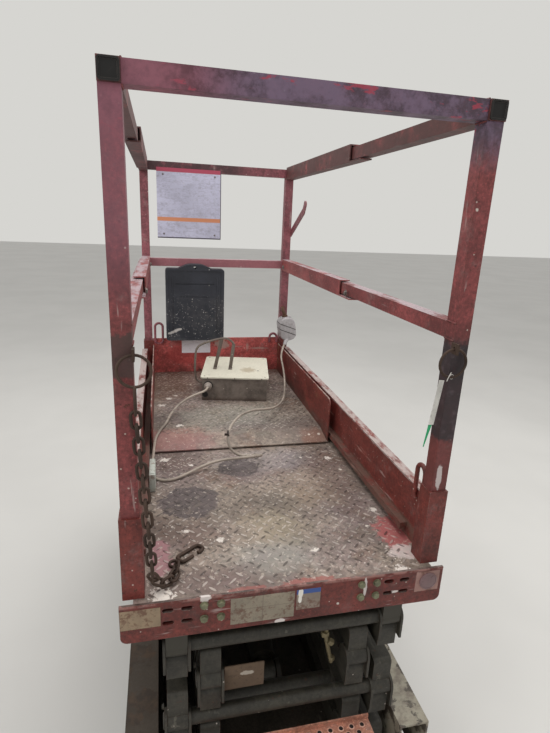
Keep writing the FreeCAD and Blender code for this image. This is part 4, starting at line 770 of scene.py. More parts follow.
    def plate_patches(f, base):
        rough = f.noise(24.0, 7.0, 0.72)
        base = f.mix(f.both(f.ramp(rough, 0.5, 0.66), 0.55), base, tint(72, 46, 42))
        lip = f.both(f.ramp(f.axis(2), 0.976, 0.982), f.ramp(f.noise(30.0, 6.0, 0.7), 0.4, 0.56))
        base = f.mix(f.both(lip, 0.7), base, tint(172, 128, 120))
        trodden = f.both(f.upward(0.6, 0.95), f.ramp(f.noise(14.0, 7.0, 0.72, shift=(6, 1, 3)), 0.6, 0.5))
        base = f.mix(f.both(trodden, 0.92), base, f.mix(f.ramp(rough, 0.42, 0.6), tint(112, 98, 92), tint(70, 58, 53)))
        drip = f.either(f.blot((-0.028, -0.81, 0.888), (0.012, 0.02, 0.007), 0.4, 80.0),
                        f.blot((-0.205, -0.81, 0.982), (0.012, 0.02, 0.012), 0.8, 60.0),
                        f.blot((0.184, -0.81, 0.955), (0.004, 0.02, 0.024), 0.9, 60.0),
                        f.blot((0.262, -0.81, 0.928), (0.012, 0.02, 0.004), 0.7, 60.0))
        return f.mix(f.both(drip, 0.85), base, tint(224, 216, 212))

    dress(worn_paint("entry_paint", red, along=2, fade=0.45, grime=0.45, specks=0.8, patches=entry_patches,
                     bare=rust), "entry_frame")
    dress(worn_paint("rail_paint", shift_shade(red, 1.06), along=1, fade=0.45, grime=0.3, specks=0.5,
                     patches=rail_patches), "main_rail_left", "main_rail_right")
    dress(worn_paint("sleeve_paint", shift_shade(red, 1.2), along=1, fade=0.5, grime=0.25, specks=0.4,
                     patches=rail_patches, shift=(4, 2, 6)), "sleeve_rail_left", "sleeve_rail_right")
    dress(worn_paint("front_paint", front, along=2, fade=0.6, grime=0.3, specks=0.6, patches=front_patches),
          "front_frame", "slide_handle")
    dress(worn_paint("socket_paint", shift_shade(board, 0.9), along=2, fade=0.3, grime=0.6, specks=0.6),
          "entry_sockets", "front_sockets", "anchor_loops")
    dress(worn_paint("loop_paint", shift_shade(front, 1.1), along=2, fade=0.9, grime=0.2, specks=0.4), "front_loops")
    dress(worn_paint("side_board_paint", board, along=1, fade=0.35, grime=0.3, specks=0.5,
                     patches=side_patches), "side_boards")
    dress(worn_paint("front_board_paint", tint(206, 98, 94), along=0, fade=0.5, grime=0.3, specks=0.8,
                     patches=board_patches), "front_board")
    dress(worn_paint("extension_board_paint", board, along=1, fade=0.3, grime=0.35, specks=0.8,
                     patches=extension_board_patches), "extension_boards")
    dress(worn_paint("rear_plate_paint", shift_shade(board, 0.8), along=0, fade=0.2, grime=0.35, specks=0.5,
                     patches=plate_patches), "rear_plate")
    dress(worn_paint("arm_paint", linear(colours.arm_grey), along=1, fade=0.25, grime=0.5, specks=0.12,
                     bare=tint(92, 88, 80), dirt=tint(36, 33, 28), pale=tint(96, 92, 82)),
          *(f"arm_{level}_{side}" for level in (1, 2, 3, 4) for side in ("outer", "inner")), "lift_barrel",
          "deck_tracks")
    base_paint = worn_paint("base_paint", linear(colours.base_grey), along=1, fade=0.3, grime=0.6, specks=0.25,
                            dirt=tint(48, 38, 30), pale=tint(112, 104, 92))
    dress(base_paint, "chassis", "base_tracks", "tray_left", "tray_right", "rear_axle",
          "pothole_guards", "knuckle_left", "knuckle_right", "tie_rod")

    def ledge_patches(f, base):
        flake = f.ramp(f.noise(9.0, 8.0, 0.62, shift=(2, 3, 8)), 0.47, 0.5)
        left = f.ramp(f.axis(0), 0.05, -0.05)
        pale_side = f.mix(f.ramp(f.noise(30.0, 6.0, 0.7), 0.4, 0.65), tint(152, 146, 130), tint(120, 110, 98))
        dark_side = f.mix(f.ramp(f.noise(30.0, 6.0, 0.7), 0.4, 0.65), tint(52, 40, 30), tint(74, 56, 40))
        bare = f.mix(left, pale_side, dark_side)
        return f.mix(flake, base, bare)

    def ledge_base(f, base):
        left = f.ramp(f.axis(0), 0.05, -0.05)
        return f.mix(f.either(f.both(left, 0.8), f.ramp(f.noise(2.5, 5.0), 0.4, 0.6)), base, tint(58, 47, 36))

    dress(worn_paint("ledge_paint", tint(96, 88, 78), along=1, fade=0.2, grime=0.5, specks=0.3,
                     patches=lambda f, base: ledge_patches(f, ledge_base(f, base))), "side_ledges")
    dress(worn_paint("step_paint", shift_shade(linear(colours.step_red), 1.15), along=0, fade=0.75, grime=0.3,
                     bare=tint(150, 132, 120)), "entry_ladder")
    chrome = plain_finish("rod_chrome", tint(178, 178, 176), 0.18, 0.9, vary=0.05, specks=0.1, grime=tint(96, 86, 74))
    dress(chrome, "lift_rod")
    dress(plain_finish("battery_case", tint(66, 62, 58), 0.6, specks=0.4, grime=tint(120, 104, 84)), "battery_pack")
    dress(worn_paint("hydraulic_paint", tint(64, 62, 60), along=1, fade=0.2, grime=0.6, specks=0.3), "hydraulic_unit")

    def tread_wear(f, base):
        dust = f.ramp(f.noise(8.0, 6.0, 0.7), 0.42, 0.7)
        return f.mix(f.both(dust, 0.55), base, tint(132, 122, 110))

    tyres = [f"tyre_{end}_{side}" for end in ("front", "rear") for side in ("left", "right")]
    rims = [f"rim_{end}_{side}" for end in ("front", "rear") for side in ("left", "right")]
    dress(plain_finish("tyre_rubber", tint(76, 74, 70), 0.85, vary=0.15, specks=0.2, grime=tint(52, 46, 40),
                       patches=tread_wear), *tyres)
    dress(worn_paint("rim_paint", tint(116, 108, 98), along=2, fade=0.3, grime=0.6, specks=0.2), *rims)


@operator("Tread plate", "tread")
def make_tread(sizes, colours):
    """Adds the raised lugs of the two decks and their worn finish"""
    across, along = sizes.lug_across, sizes.lug_along

    def lugs(low, high, top):
        """Two fields of raised lugs that lean either way, row by row, at the places seen on the real deck."""
        fields = []
        for seed, turn in (((0.0, -0.695), 45), ((across / 2, -0.695 + along / 2), -45)):
            first = [low[i] + (seed[i] - low[i]) % (across, along)[i] for i in (0, 1)]
            drop_all()
            bpy.ops.mesh.primitive_cylinder_add(vertices=12, radius=0.5, depth=sizes.lug_height)
            piece = bpy.context.object
            piece.scale = (sizes.lug_length, sizes.lug_width, 1)
            settle(piece)
            pick(piece, lambda face: face.normal.z > 0.9)
            bpy.ops.transform.resize(value=(0.82, 0.62, 1))
            bpy.ops.object.mode_set(mode="OBJECT")
            piece.rotation_euler = (0, 0, math.radians(turn))
            piece.location = (*first, top + sizes.lug_height / 2 - 0.0001)
            settle(piece)
            for way, step, room in (((across, 0, 0), across, high[0] - first[0]),
                                    ((0, along, 0), along, high[1] - first[1])):
                add_modifier(piece, "ARRAY", use_relative_offset=False, use_constant_offset=True,
                             constant_offset_displace=way, count=int(room / step) + 1)
            fields.append(piece)
        return joined(fields)

    def worn_plate(name, top, patches, wet_places=()):
        f = Finish(name)
        worn, stain = linear(colours.deck), linear(colours.stain)
        raised = f.ramp(f.axis(2), top + 0.0003, top + sizes.lug_height)
        broad = f.noise(5.0, 7.0, 0.7)
        fine = f.noise(60.0, 7.0, 0.75)
        base = f.mix(f.ramp(broad, 0.36, 0.64), shift_shade(worn, 0.5), shift_shade(worn, 1.22))
        hue = f.ramp(f.noise(3.0, 5.0, 0.65, shift=(7, 3, 2)), 0.4, 0.62)
        base = f.mix(f.both(hue, 0.5), base, tint(126, 106, 112))
        brown = f.ramp(f.noise(6.0, 7.0, 0.75, shift=(1, 9, 5)), 0.52, 0.66)
        base = f.mix(f.both(brown, 0.66), base, tint(110, 82, 66))
        base = f.mix(f.both(f.ramp(fine, 0.44, 0.6), 0.6), base, shift_shade(worn, 0.34))
        base = patches(f, base)
        # Each lug is dark or pale by a noise: the dark tone is painted shadow on dirty lugs, the pale tone is rubbed
        # lug tops with painted highlight.
        each = f.ramp(f.noise(36.0, 2.0, 0.5, shift=(5, 2, 8)), 0.44, 0.56)
        rubbed = f.both(each, f.ramp(f.noise(6.0, 6.0, 0.7, shift=(1, 3, 6)), 0.34, 0.56, 0.35, 1.0))
        lug = f.mix(rubbed, f.mix(0.68, base, tint(56, 48, 46)), f.mix(0.5, base, tint(214, 204, 196)))
        base = f.mix(f.both(raised, 0.95), base, lug)
        wet = f.mix(f.ramp(f.noise(40.0, 6.0, 0.7), 0.4, 0.66), stain, shift_shade(stain, 0.5))
        for place, size in wet_places:
            share = f.ramp(f.noise(26.0, 6.0, 0.75, shift=(1, 4, 2)), 0.68, 0.5, 0.6, 0.94)
            base = f.mix(f.both(f.blot(place, size, 0.5, 26.0, 0.06), share), base, wet)
        # Pale flecks over the whole plate stand for the lit rims of the lugs: painted highlight.
        halo_highlight = f.ramp(f.noise(85.0, 5.0, 0.7, shift=(2, 7, 1)), 0.57, 0.66)
        base = f.mix(f.both(halo_highlight, 0.5), base, tint(208, 196, 182))
        steel = f.mix(f.ramp(broad, 0.38, 0.62), shift_shade(linear(colours.board_red), 0.45),
                      shift_shade(linear(colours.board_red), 0.95))
        steel = f.mix(f.ramp(f.axis(2), 0.895, 0.885), f.mix(f.both(f.ramp(fine, 0.42, 0.6), 0.6), steel, tint(70, 56, 50)),
                      shift_shade(linear(colours.arm_grey), 1.1))
        base = f.mix(f.ramp(f.axis(2), 0.980, 0.977), base, steel)
        base = f.mix(f.both(f.splashes(26.0, 0.92, 0.14), 0.85), base, tint(226, 218, 208))
        base = f.mix(f.both(f.splashes(75.0, 0.9, 0.12), 0.7), base, tint(216, 204, 192))
        f.bump(f.both(fine, 0.5), 0.0005)
        return f.done(base, f.math("MULTIPLY_ADD", raised, -0.14, 0.56), f.math("MULTIPLY_ADD", raised, 0.25, 0.08))

    def main_patches(f, base):
        for place, size, shade, share in (
                ((0.001, -0.573, 0.985), (0.08, 0.06, 0.1), tint(172, 160, 130), 0.3),
                ((0.170, -0.400, 0.985), (0.10, 0.12, 0.1), tint(160, 144, 120), 0.35),
                ((-0.020, -0.703, 0.985), (0.10, 0.06, 0.1), tint(166, 168, 160), 0.4),
                ((0.060, -0.180, 0.985), (0.16, 0.07, 0.1), tint(142, 138, 142), 0.4),
                ((0.270, -0.300, 0.985), (0.07, 0.26, 0.1), tint(96, 72, 62), 0.5),
                ((-0.250, -0.560, 0.985), (0.10, 0.07, 0.1), tint(104, 80, 72), 0.45),
                ((-0.250, -0.170, 0.985), (0.10, 0.07, 0.1), tint(104, 82, 72), 0.4),
                ((-0.180, -0.760, 0.985), (0.14, 0.06, 0.1), tint(98, 76, 72), 0.5)):
            base = f.mix(f.both(f.blot(place, size, 1.3, 14.0, 0.6), share), base, shade)
        for place, size, shade, share in (
                ((-0.303, -0.662, 0.985), (0.026, 0.072, 0.1), tint(164, 118, 124), 0.85),
                ((0.325, -0.663, 0.985), (0.043, 0.078, 0.1), tint(170, 88, 88), 0.8),
                ((0.318, -0.738, 0.985), (0.04, 0.03, 0.1), tint(216, 202, 198), 0.75),
                ((0.040, -0.802, 0.985), (0.06, 0.014, 0.1), tint(158, 78, 72), 0.6),
                ((-0.110, -0.802, 0.985), (0.04, 0.010, 0.1), tint(158, 78, 72), 0.5)):
            base = f.mix(f.both(f.blot(place, size, 0.9, 44.0, 0.15), share), base, shade)
        flecks = f.either(f.blot((-0.200, -0.620, 0.985), (0.16, 0.12, 0.1), 0.9, 12.0, 0.5),
                          f.blot((-0.260, -0.150, 0.985), (0.10, 0.08, 0.1), 0.9, 12.0, 0.5),
                          f.blot((0.250, -0.760, 0.985), (0.14, 0.06, 0.1), 0.9, 12.0, 0.5))
        base = f.mix(f.both(flecks, f.splashes(105.0, 0.62, 0.2, (3, 1, 4)), 0.85), base, tint(224, 214, 204))
        for place, size in (((-0.286, -0.136, 0.985), 0.018), ((-0.199, -0.186, 0.985), 0.011),
                            ((0.288, -0.202, 0.985), 0.013), ((0.318, -0.542, 0.985), 0.013),
                            ((-0.301, -0.790, 0.985), 0.03), ((0.284, -0.804, 0.985), 0.02),
                            ((-0.150, -0.610, 0.985), 0.012), ((-0.235, -0.560, 0.985), 0.010),
                            ((0.090, -0.690, 0.985), 0.012)):
            base = f.mix(f.both(f.blot(place, (size * 0.8, size * 0.7, 0.1), 1.9, 120.0, 0.2), 0.85), base,
                         tint(228, 220, 212))
        return base

    def extension_patches(f, base):
        for place, size, shade, share in (
                ((-0.280, -0.030, 1.015), (0.15, 0.09, 0.1), tint(176, 108, 104), 0.4),
                ((-0.016, 0.172, 1.015), (0.20, 0.14, 0.1), tint(140, 142, 130), 0.45),
                ((0.244, 0.050, 1.015), (0.10, 0.14, 0.1), tint(104, 92, 84), 0.6),
                ((-0.280, 0.600, 1.015), (0.16, 0.20, 0.1), tint(112, 82, 66), 0.7),
                ((0.0, 0.790, 1.015), (0.35, 0.08, 0.1), tint(100, 70, 58), 0.75),
                ((0.287, -0.060, 1.015), (0.05, 0.05, 0.1), tint(136, 92, 74), 0.6)):
            base = f.mix(f.both(f.blot(place, size, 1.2, 14.0, 0.5), share), base, shade)
        for place, size in (((-0.262, 0.395, 1.015), 0.016), ((-0.232, 0.430, 1.015), 0.010),
                            ((-0.292, 0.315, 1.015), 0.018), ((-0.228, 0.085, 1.015), 0.016)):
            base = f.mix(f.both(f.blot(place, (size * 0.8, size * 0.7, 0.1), 1.9, 120.0, 0.2), 0.85), base,
                         tint(228, 220, 212))
        return base

    main = worn_plate("main_deck_plate", 0.985, main_patches,
                      (((-0.219, -0.416, 0.985), (0.092, 0.088, 0.1)), ((-0.039, -0.227, 0.985), (0.071, 0.062, 0.1))))
    front = worn_plate("extension_plate", 1.015, extension_patches)
    dress(main, "main_deck")
    dress(front, "extension_deck")
    finished(lugs((-0.328, -0.792), (0.328, -0.100), 0.985), "main_deck_lugs", "platform", main, 20)
    finished(lugs((-0.318, 0.016), (0.318, 0.782), 1.015), "extension_deck_lugs", "extension", front, 20)


# Rear plate

@operator("Rear plate fittings", "rear_plate")
def make_rear_plate(sizes, colours):
    """Adds the bolts, blank labels and reflector of the rear plate, and the plugs in the rail ends"""
    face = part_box("rear_plate")[0][1]
    film = 0.0006
    zinc = plain_finish("zinc", tint(112, 112, 88), 0.4, 0.25, vary=0.4, grain=80.0, specks=0.6, grime=tint(62, 50, 42))
    heads = [hex_head((x, face, z), (0, -1, 0), sizes.bolt_width, sizes.bolt_height, 1.12)
             for x in BOLT_COLUMNS for z in BOLT_ROWS]
    finished(joined(heads), "rear_plate_bolts", "platform", zinc, 30)

    def cream(f, base):
        stain = f.ramp(f.noise(34.0, 7.0, 0.75), 0.5, 0.62)
        return f.mix(f.both(stain, 0.75), base, tint(96, 58, 44))

    def panels(f, base):
        line = f.either(f.band(0, -0.0725, -0.0705, 0.0004), f.band(2, 0.9365, 0.938, 0.0004))
        return f.mix(f.both(line, 0.55), cream(f, base), tint(104, 88, 78))

    def blue_bar(f, base):
        base = f.mix(f.band(2, 0.9585, 0.971, 0.0006), cream(f, base), tint(58, 84, 148))
        blob = f.either(f.blot((0.0195, face, 0.962), (0.006, 0.01, 0.014), 0.3, 90.0),
                        f.blot((0.0185, face, 0.945), (0.0045, 0.01, 0.012), 0.3, 90.0))
        return f.mix(blob, base, tint(232, 228, 220))

    label("label_left", "platform", (-0.391, face - film, 0.922), (-0.304, face, 0.973),
          plain_finish("label_cream", tint(150, 130, 106), 0.5, specks=0, patches=cream))
    label("label_panels", "platform", (-0.147, face - film, 0.897), (0.005, face, 0.970),
          plain_finish("label_two_panels", tint(144, 134, 118), 0.5, specks=0.4, patches=panels))
    label("label_small", "platform", (0.010, face - film, 0.914), (0.069, face, 0.971),
          plain_finish("label_blue_bar", tint(144, 130, 118), 0.5, specks=0.4, patches=blue_bar))
    label("label_right", "platform", (0.319, face - film, 0.919), (0.384, face, 0.977),
          plain_finish("label_pink", tint(156, 120, 112), 0.5, specks=0.5, patches=cream))
    middle = (0.353, face - film, 0.949)
    lens = turned(middle, (0, -1, 0), [(0.0235, 0), (0.0235, 0.003), (0.021, 0.0042), (0.0205, 0.0032),
                                       (0.012, 0.0046), (0.003, 0.0052)], 32)
    finished(lens, "reflector", "platform",
             plain_finish("reflector_lens", tint(122, 96, 98), 0.2, specks=0.5), 40)

    plugs = []
    for name in ("main_rail_left", "main_rail_right"):
        low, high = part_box(name)
        half = RAIL_TUBE / 2
        x, z = (low[0] + high[0]) / 2, high[2] - half
        piece = block((RAIL_TUBE - 0.002, 0.0024, RAIL_TUBE - 0.002), (x, low[1] - 0.0012, z), edge=0)
        round_edges(piece, 0.005, 4, lambda edge: abs(edge.verts[0].co.y - edge.verts[1].co.y) > 0.002)
        pick(piece, lambda polygon: polygon.normal.y < -0.9)
        bpy.ops.mesh.inset(thickness=0.003)
        bpy.ops.mesh.inset(thickness=0.001)
        bpy.ops.transform.translate(value=(0, 0.0019, 0))
        bpy.ops.object.mode_set(mode="OBJECT")
        plugs.append(piece)
    # The plugs' edges are painted pale: painted highlight on the black plastic.
    finished(joined(plugs), "rail_plugs", "platform",
             plain_finish("black_plastic", tint(10, 8, 8), 0.55, specks=0.4, grime=tint(30, 26, 24),
                          patches=lambda f, base: f.mix(f.both(f.edges(0.0016), 0.5), base, tint(104, 96, 92))),
             30)


# Control box

def on_control(across, back, up):
    """A place on the turned control box: across and back from its middle, up from its foot."""
    low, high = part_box("control_box")
    turn = math.radians(CONTROL_TURN)
    return Vector(((low[0] + high[0]) / 2 + across * math.cos(turn) - back * math.sin(turn),
                   (low[1] + high[1]) / 2 + across * math.sin(turn) + back * math.cos(turn), low[2] + up))


@operator("Control box", "control_box")
def make_control_box(sizes, colours):
    """Gives the control box its paint and adds its hoop, straps, gland, plug and rivets"""
    width, depth, height = CONTROL_SIZE
    lid_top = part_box("control_box")[1][2]

    def wear(f, base):
        body = f.ramp(f.axis(2), lid_top - 0.0065, lid_top - 0.0055, 1, 0)
        base = f.mix(body, base, f.mix(f.ramp(f.noise(14.0, 6.0, 0.7), 0.35, 0.68), tint(126, 116, 108),
                                       tint(84, 76, 70)))
        base = f.mix(f.both(body, f.splashes(48.0, 0.8, 0.12), 0.9), base, tint(190, 182, 168))
        base = f.mix(f.both(body, f.ramp(f.axis(2), 1.035, 1.016), 0.7), base, tint(62, 44, 36))
        patch = f.blot(on_control(0.058, -0.045, height), (0.032, 0.036, 0.02), 1.0, 60.0, 0.3)
        base = f.mix(f.both(patch, 0.75), base, tint(164, 150, 126))
        soil = f.ramp(f.noise(22.0, 7.0, 0.75, shift=(2, 2, 2)), 0.6, 0.74)
        return f.mix(f.both(soil, 0.6), base, tint(120, 98, 80))

    dress(plain_finish("control_paint", tint(206, 202, 186), 0.5, vary=0.05, specks=0.3,
                       grime=tint(178, 172, 154), patches=wear), "control_box")

    steel = plain_finish("hoop_steel", tint(120, 110, 102), 0.42, 0.25, specks=0.5, grime=tint(72, 56, 48))
    left = -width / 2
    line = [on_control(left + x, HOOP_BACK, height + z) for x, z in HOOP_ROUTE]
    pieces = [wire(line, HOOP_ROD / 2, 12)]
    for foot, (top_x, top_z) in zip(STRAP_FEET, (HOOP_ROUTE[-3], HOOP_ROUTE[-1])):
        start, end = Vector((left + foot, HOOP_BACK, height)), Vector((left + top_x, HOOP_BACK, height + top_z))
        lean = math.atan2(end.x - start.x, end.z - start.z)
        middle = (start + end) / 2
        turn = Euler((0, lean, 0)).to_matrix().to_4x4()
        strap = block((STRAP_WIDTH, 0.003, (end - start).length), (0, 0, 0), edge=0.0008)
        foot_plate = block((STRAP_WIDTH, 0.026, 0.003), (0, 0, 0), edge=0.0008)
        place = Matrix.Translation(on_control(*middle)) @ Matrix.Rotation(math.radians(CONTROL_TURN), 4, "Z")
        strap.data.transform(place @ turn)
        place = (Matrix.Translation(on_control(start.x, HOOP_BACK - 0.011, height + 0.0016))
                 @ Matrix.Rotation(math.radians(CONTROL_TURN), 4, "Z"))
        foot_plate.data.transform(place)
        pieces += [strap, foot_plate]
        for back in (-0.017, -0.007):
            pieces.append(turned(on_control(start.x, HOOP_BACK + back, height + 0.003), (0, 0, 1),
                                 [(0.0042, 0), (0.0038, 0.0012), (0.0022, 0.0021)], 16))
    for back in (0.0, -0.012):
        pieces.append(turned(on_control(left + HOOP_ROUTE[-3][0] - 0.003, HOOP_BACK - 0.0016, height + 0.12 + back),
                             (-math.sin(-math.radians(CONTROL_TURN)), -1, 0),
                             [(0.0034, 0), (0.003, 0.001), (0.0018, 0.0017)], 12))
    hoop = joined(pieces)
    finished(hoop, "control_hoop", "extension", steel, 40)
    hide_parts("control_guard")

    tip, ahead = Vector(CORD_ROUTE[0]), Vector(CORD_ROUTE[1])
    inward = (tip - ahead).normalized()
    grey = plain_finish("gland_grey", tint(150, 140, 132), 0.5, specks=0.4, grime=tint(96, 82, 74))
    rings = [(0.0062, 0.0), (0.0072, 0.0015)]
    for step in range(4):
        rings += [(0.0078 + step * 0.0012, 0.002 + step * 0.003), (0.0088 + step * 0.0012, 0.0035 + step * 0.003)]
    rings += [(0.0165, 0.0148), (0.0178, 0.0160), (0.0178, 0.0222)]
    gland = turned(tip, inward, rings, 28)
    nut = turned(tip, inward, [(0.0172, 0.0222), (0.0176, 0.0232), (0.0176, 0.0302)], 6)
    gland = joined([gland, nut])
    finished(gland, "cord_gland", "extension", grey, 35)
    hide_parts("control_gland")
    black = plain_finish("black_nylon", tint(28, 26, 25), 0.45, specks=0.5)
    outward = Vector((-inward.x, -inward.y, 0)).normalized()
    plug = turned(on_control(-0.131, -depth / 2, 0.028), outward,
                  [(0.0125, 0), (0.0125, 0.0025), (0.0105, 0.0035), (0.0098, 0.0012), (0.004, 0.001)], 24)
    seat = turned(tip + inward * 0.0285, inward, [(0.0195, 0), (0.0205, 0.001), (0.0205, 0.0022)], 28)
    hole = turned(on_control(0.105, -0.055, height), (0, 0, 1), [(0.0042, 0), (0.0036, 0.0007)], 16)
    finished(joined([plug, seat, hole]), "control_plug", "extension", black, 35)
    screws = []
    for across in (-0.120, 0.0, 0.120):
        screws.append(turned(on_control(across, -depth / 2 - 0.007, height - 0.003), outward,
                             [(0.0028, 0), (0.0026, 0.0008), (0.001, 0.0012)], 12))
    for across, back in ((-0.135, -0.152), (0.135, -0.152), (-0.135, 0.152), (0.135, 0.152)):
        screws.append(turned(on_control(across, back, height), (0, 0, 1),
                             [(0.0036, 0), (0.0032, 0.0008), (0.0014, 0.0014)], 12))
    finished(joined(screws), "control_screws", "extension", steel, 35)


# Manual box and placard

@operator("Manual box", "manual_box")
def make_manual_box(sizes, colours):
    """Models the moulded document box that hangs under the front mid rail"""
    low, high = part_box("manual_box")
    middle_x = (low[0] + high[0]) / 2
    body = slab(low, (high[0], high[1], high[2] - MANUAL_ARCH), edge=0)
    round_edges(body, 0.013, 5, lambda edge: abs(edge.verts[0].co.y - edge.verts[1].co.y) > 0.02)
    crown = slab((middle_x - 0.09, low[1], high[2] - MANUAL_ARCH - 0.003), (middle_x + 0.09, high[1], high[2]), edge=0)
    pick(crown, lambda polygon: polygon.normal.z > 0.9)
    bpy.ops.transform.resize(value=(0.38, 1, 1))
    bpy.ops.object.mode_set(mode="OBJECT")
    round_edges(crown, 0.014, 4, lambda edge: abs(edge.verts[0].co.y - edge.verts[1].co.y) > 0.02
                and edge.verts[0].co.z > high[2] - 0.001)
    add_modifier(body, "BOOLEAN", operation="UNION", object=crown, solver="EXACT")
    bpy.data.objects.remove(crown)
    tidy_normals(body)
    hole = turned((middle_x, low[1] - 0.01, high[2] - 0.014), (0, 1, 0), [(0.0075, 0), (0.0075, 0.08)], 20)
    cut(body, hole)
    pocket = slab((low[0] + 0.014, low[1] - 0.004, low[2] + 0.012),
                  (high[0] - 0.014, low[1] + 0.003, high[2] - MANUAL_ARCH - 0.010), edge=0)
    round_edges(pocket, 0.010, 4, lambda edge: abs(edge.verts[0].co.y - edge.verts[1].co.y) > 0.003)
    cut(body, pocket)
    for size, place, depth in MANUAL_RECESSES:
        tool = block((size[0], depth * 2, size[1]), (middle_x + place[0], low[1] + 0.003, low[2] + place[1]), edge=0)
        cut(body, tool)
    ribs = [slab((x - 0.002, low[1] + 0.0002, low[2] + 0.03), (x + 0.002, low[1] + 0.0045, high[2] - 0.06), edge=0.001)
            for x in (low[0] + 0.034, high[0] - 0.034)]
    body = joined([body] + ribs)

    def splash(f, base):
        low_half = f.ramp(f.axis(2), 1.46, 1.34)
        dots = f.either(f.splashes(150.0, 0.55, 0.15), f.splashes(85.0, 0.7, 0.13, (1, 5, 3)),
                        f.splashes(52.0, 0.9, 0.1))
        base = f.mix(f.both(dots, low_half, 0.95), base, tint(222, 220, 220))
        few = f.splashes(60.0, 0.965, 0.14, (2, 2, 2))
        base = f.mix(f.both(few, 0.85), base, tint(216, 212, 208))
        streak = f.either(*(f.blot((-0.246 + 0.012 * step, low[1], 1.236 + 0.005 * step), (0.011, 0.03, 0.0055),
                                   0.9, 90.0, 0.2) for step in range(5)))
        base = f.mix(f.both(streak, 0.85), base, tint(206, 202, 198))
        dust = f.both(f.ramp(f.noise(9.0, 6.0, 0.7), 0.42, 0.7), low_half)
        return f.mix(f.both(dust, 0.3), base, tint(110, 106, 102))

    finished(body, "document_box", "extension",
             plain_finish("moulded_black", tint(46, 49, 58), 0.42, vary=0.2, specks=0.5, patches=splash),
             32)
    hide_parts("manual_box")


@operator("Placard", "placard")
def make_placard(sizes, colours):
    """Gives the placard its pale face with the red strip and the orange band, and adds its clips"""
    low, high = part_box("placard")

    def stripes(f, base):
        face = f.ramp(f.axis(1), low[1] + 0.0004, low[1] + 0.0006, 1, 0)
        grey = f.ramp(f.noise(70.0, 6.0, 0.8, stretch=(0.5, 1, 1.6)), 0.46, 0.6)
        base = f.mix(f.both(grey, 0.3), base, tint(128, 124, 140))
        soil = f.ramp(f.noise(12.0, 7.0, 0.75, shift=(4, 2, 1)), 0.56, 0.7)
        base = f.mix(f.both(soil, 0.35), base, tint(120, 98, 96))
        base = f.mix(f.band(2, high[2] - 0.018, high[2] + 1, 0.0006), base, tint(176, 74, 96))
        base = f.mix(f.band(2, 1.779, 1.797, 0.0006), base, tint(214, 142, 104))
        rim = f.either(f.ramp(f.axis(0), high[0] - 0.004, high[0] - 0.003),
                       f.ramp(f.axis(2), low[2] + 0.006, low[2] + 0.005))
        base = f.mix(rim, base, tint(70, 64, 78))
        return f.mix(face, tint(60, 56, 66), base)

    dress(plain_finish("placard_face", tint(200, 200, 222), 0.42, vary=0.08, specks=0.2,
                       grime=tint(164, 160, 178), patches=stripes), "placard")
    clips = []
    for x in (low[0] + 0.03, high[0] - 0.03):
        for z in (low[2] + 0.02, high[2] - 0.03):
            clips.append(turned((x, low[1], z), (0, -1, 0), [(0.0045, 0), (0.004, 0.0012), (0.002, 0.002)], 16))
    finished(joined(clips), "placard_rivets", "extension",
             plain_finish("rivet_steel", tint(120, 112, 112), 0.4, 0.4), 35)
    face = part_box("front_board")[0][1]
    label("board_label", "extension", (-0.186, face - 0.0006, 1.118), (-0.038, face, 1.186),
          plain_finish("label_white", tint(248, 244, 250), 0.5, vary=0.04, specks=0.2, grime=tint(214, 204, 212)))


# Outlet

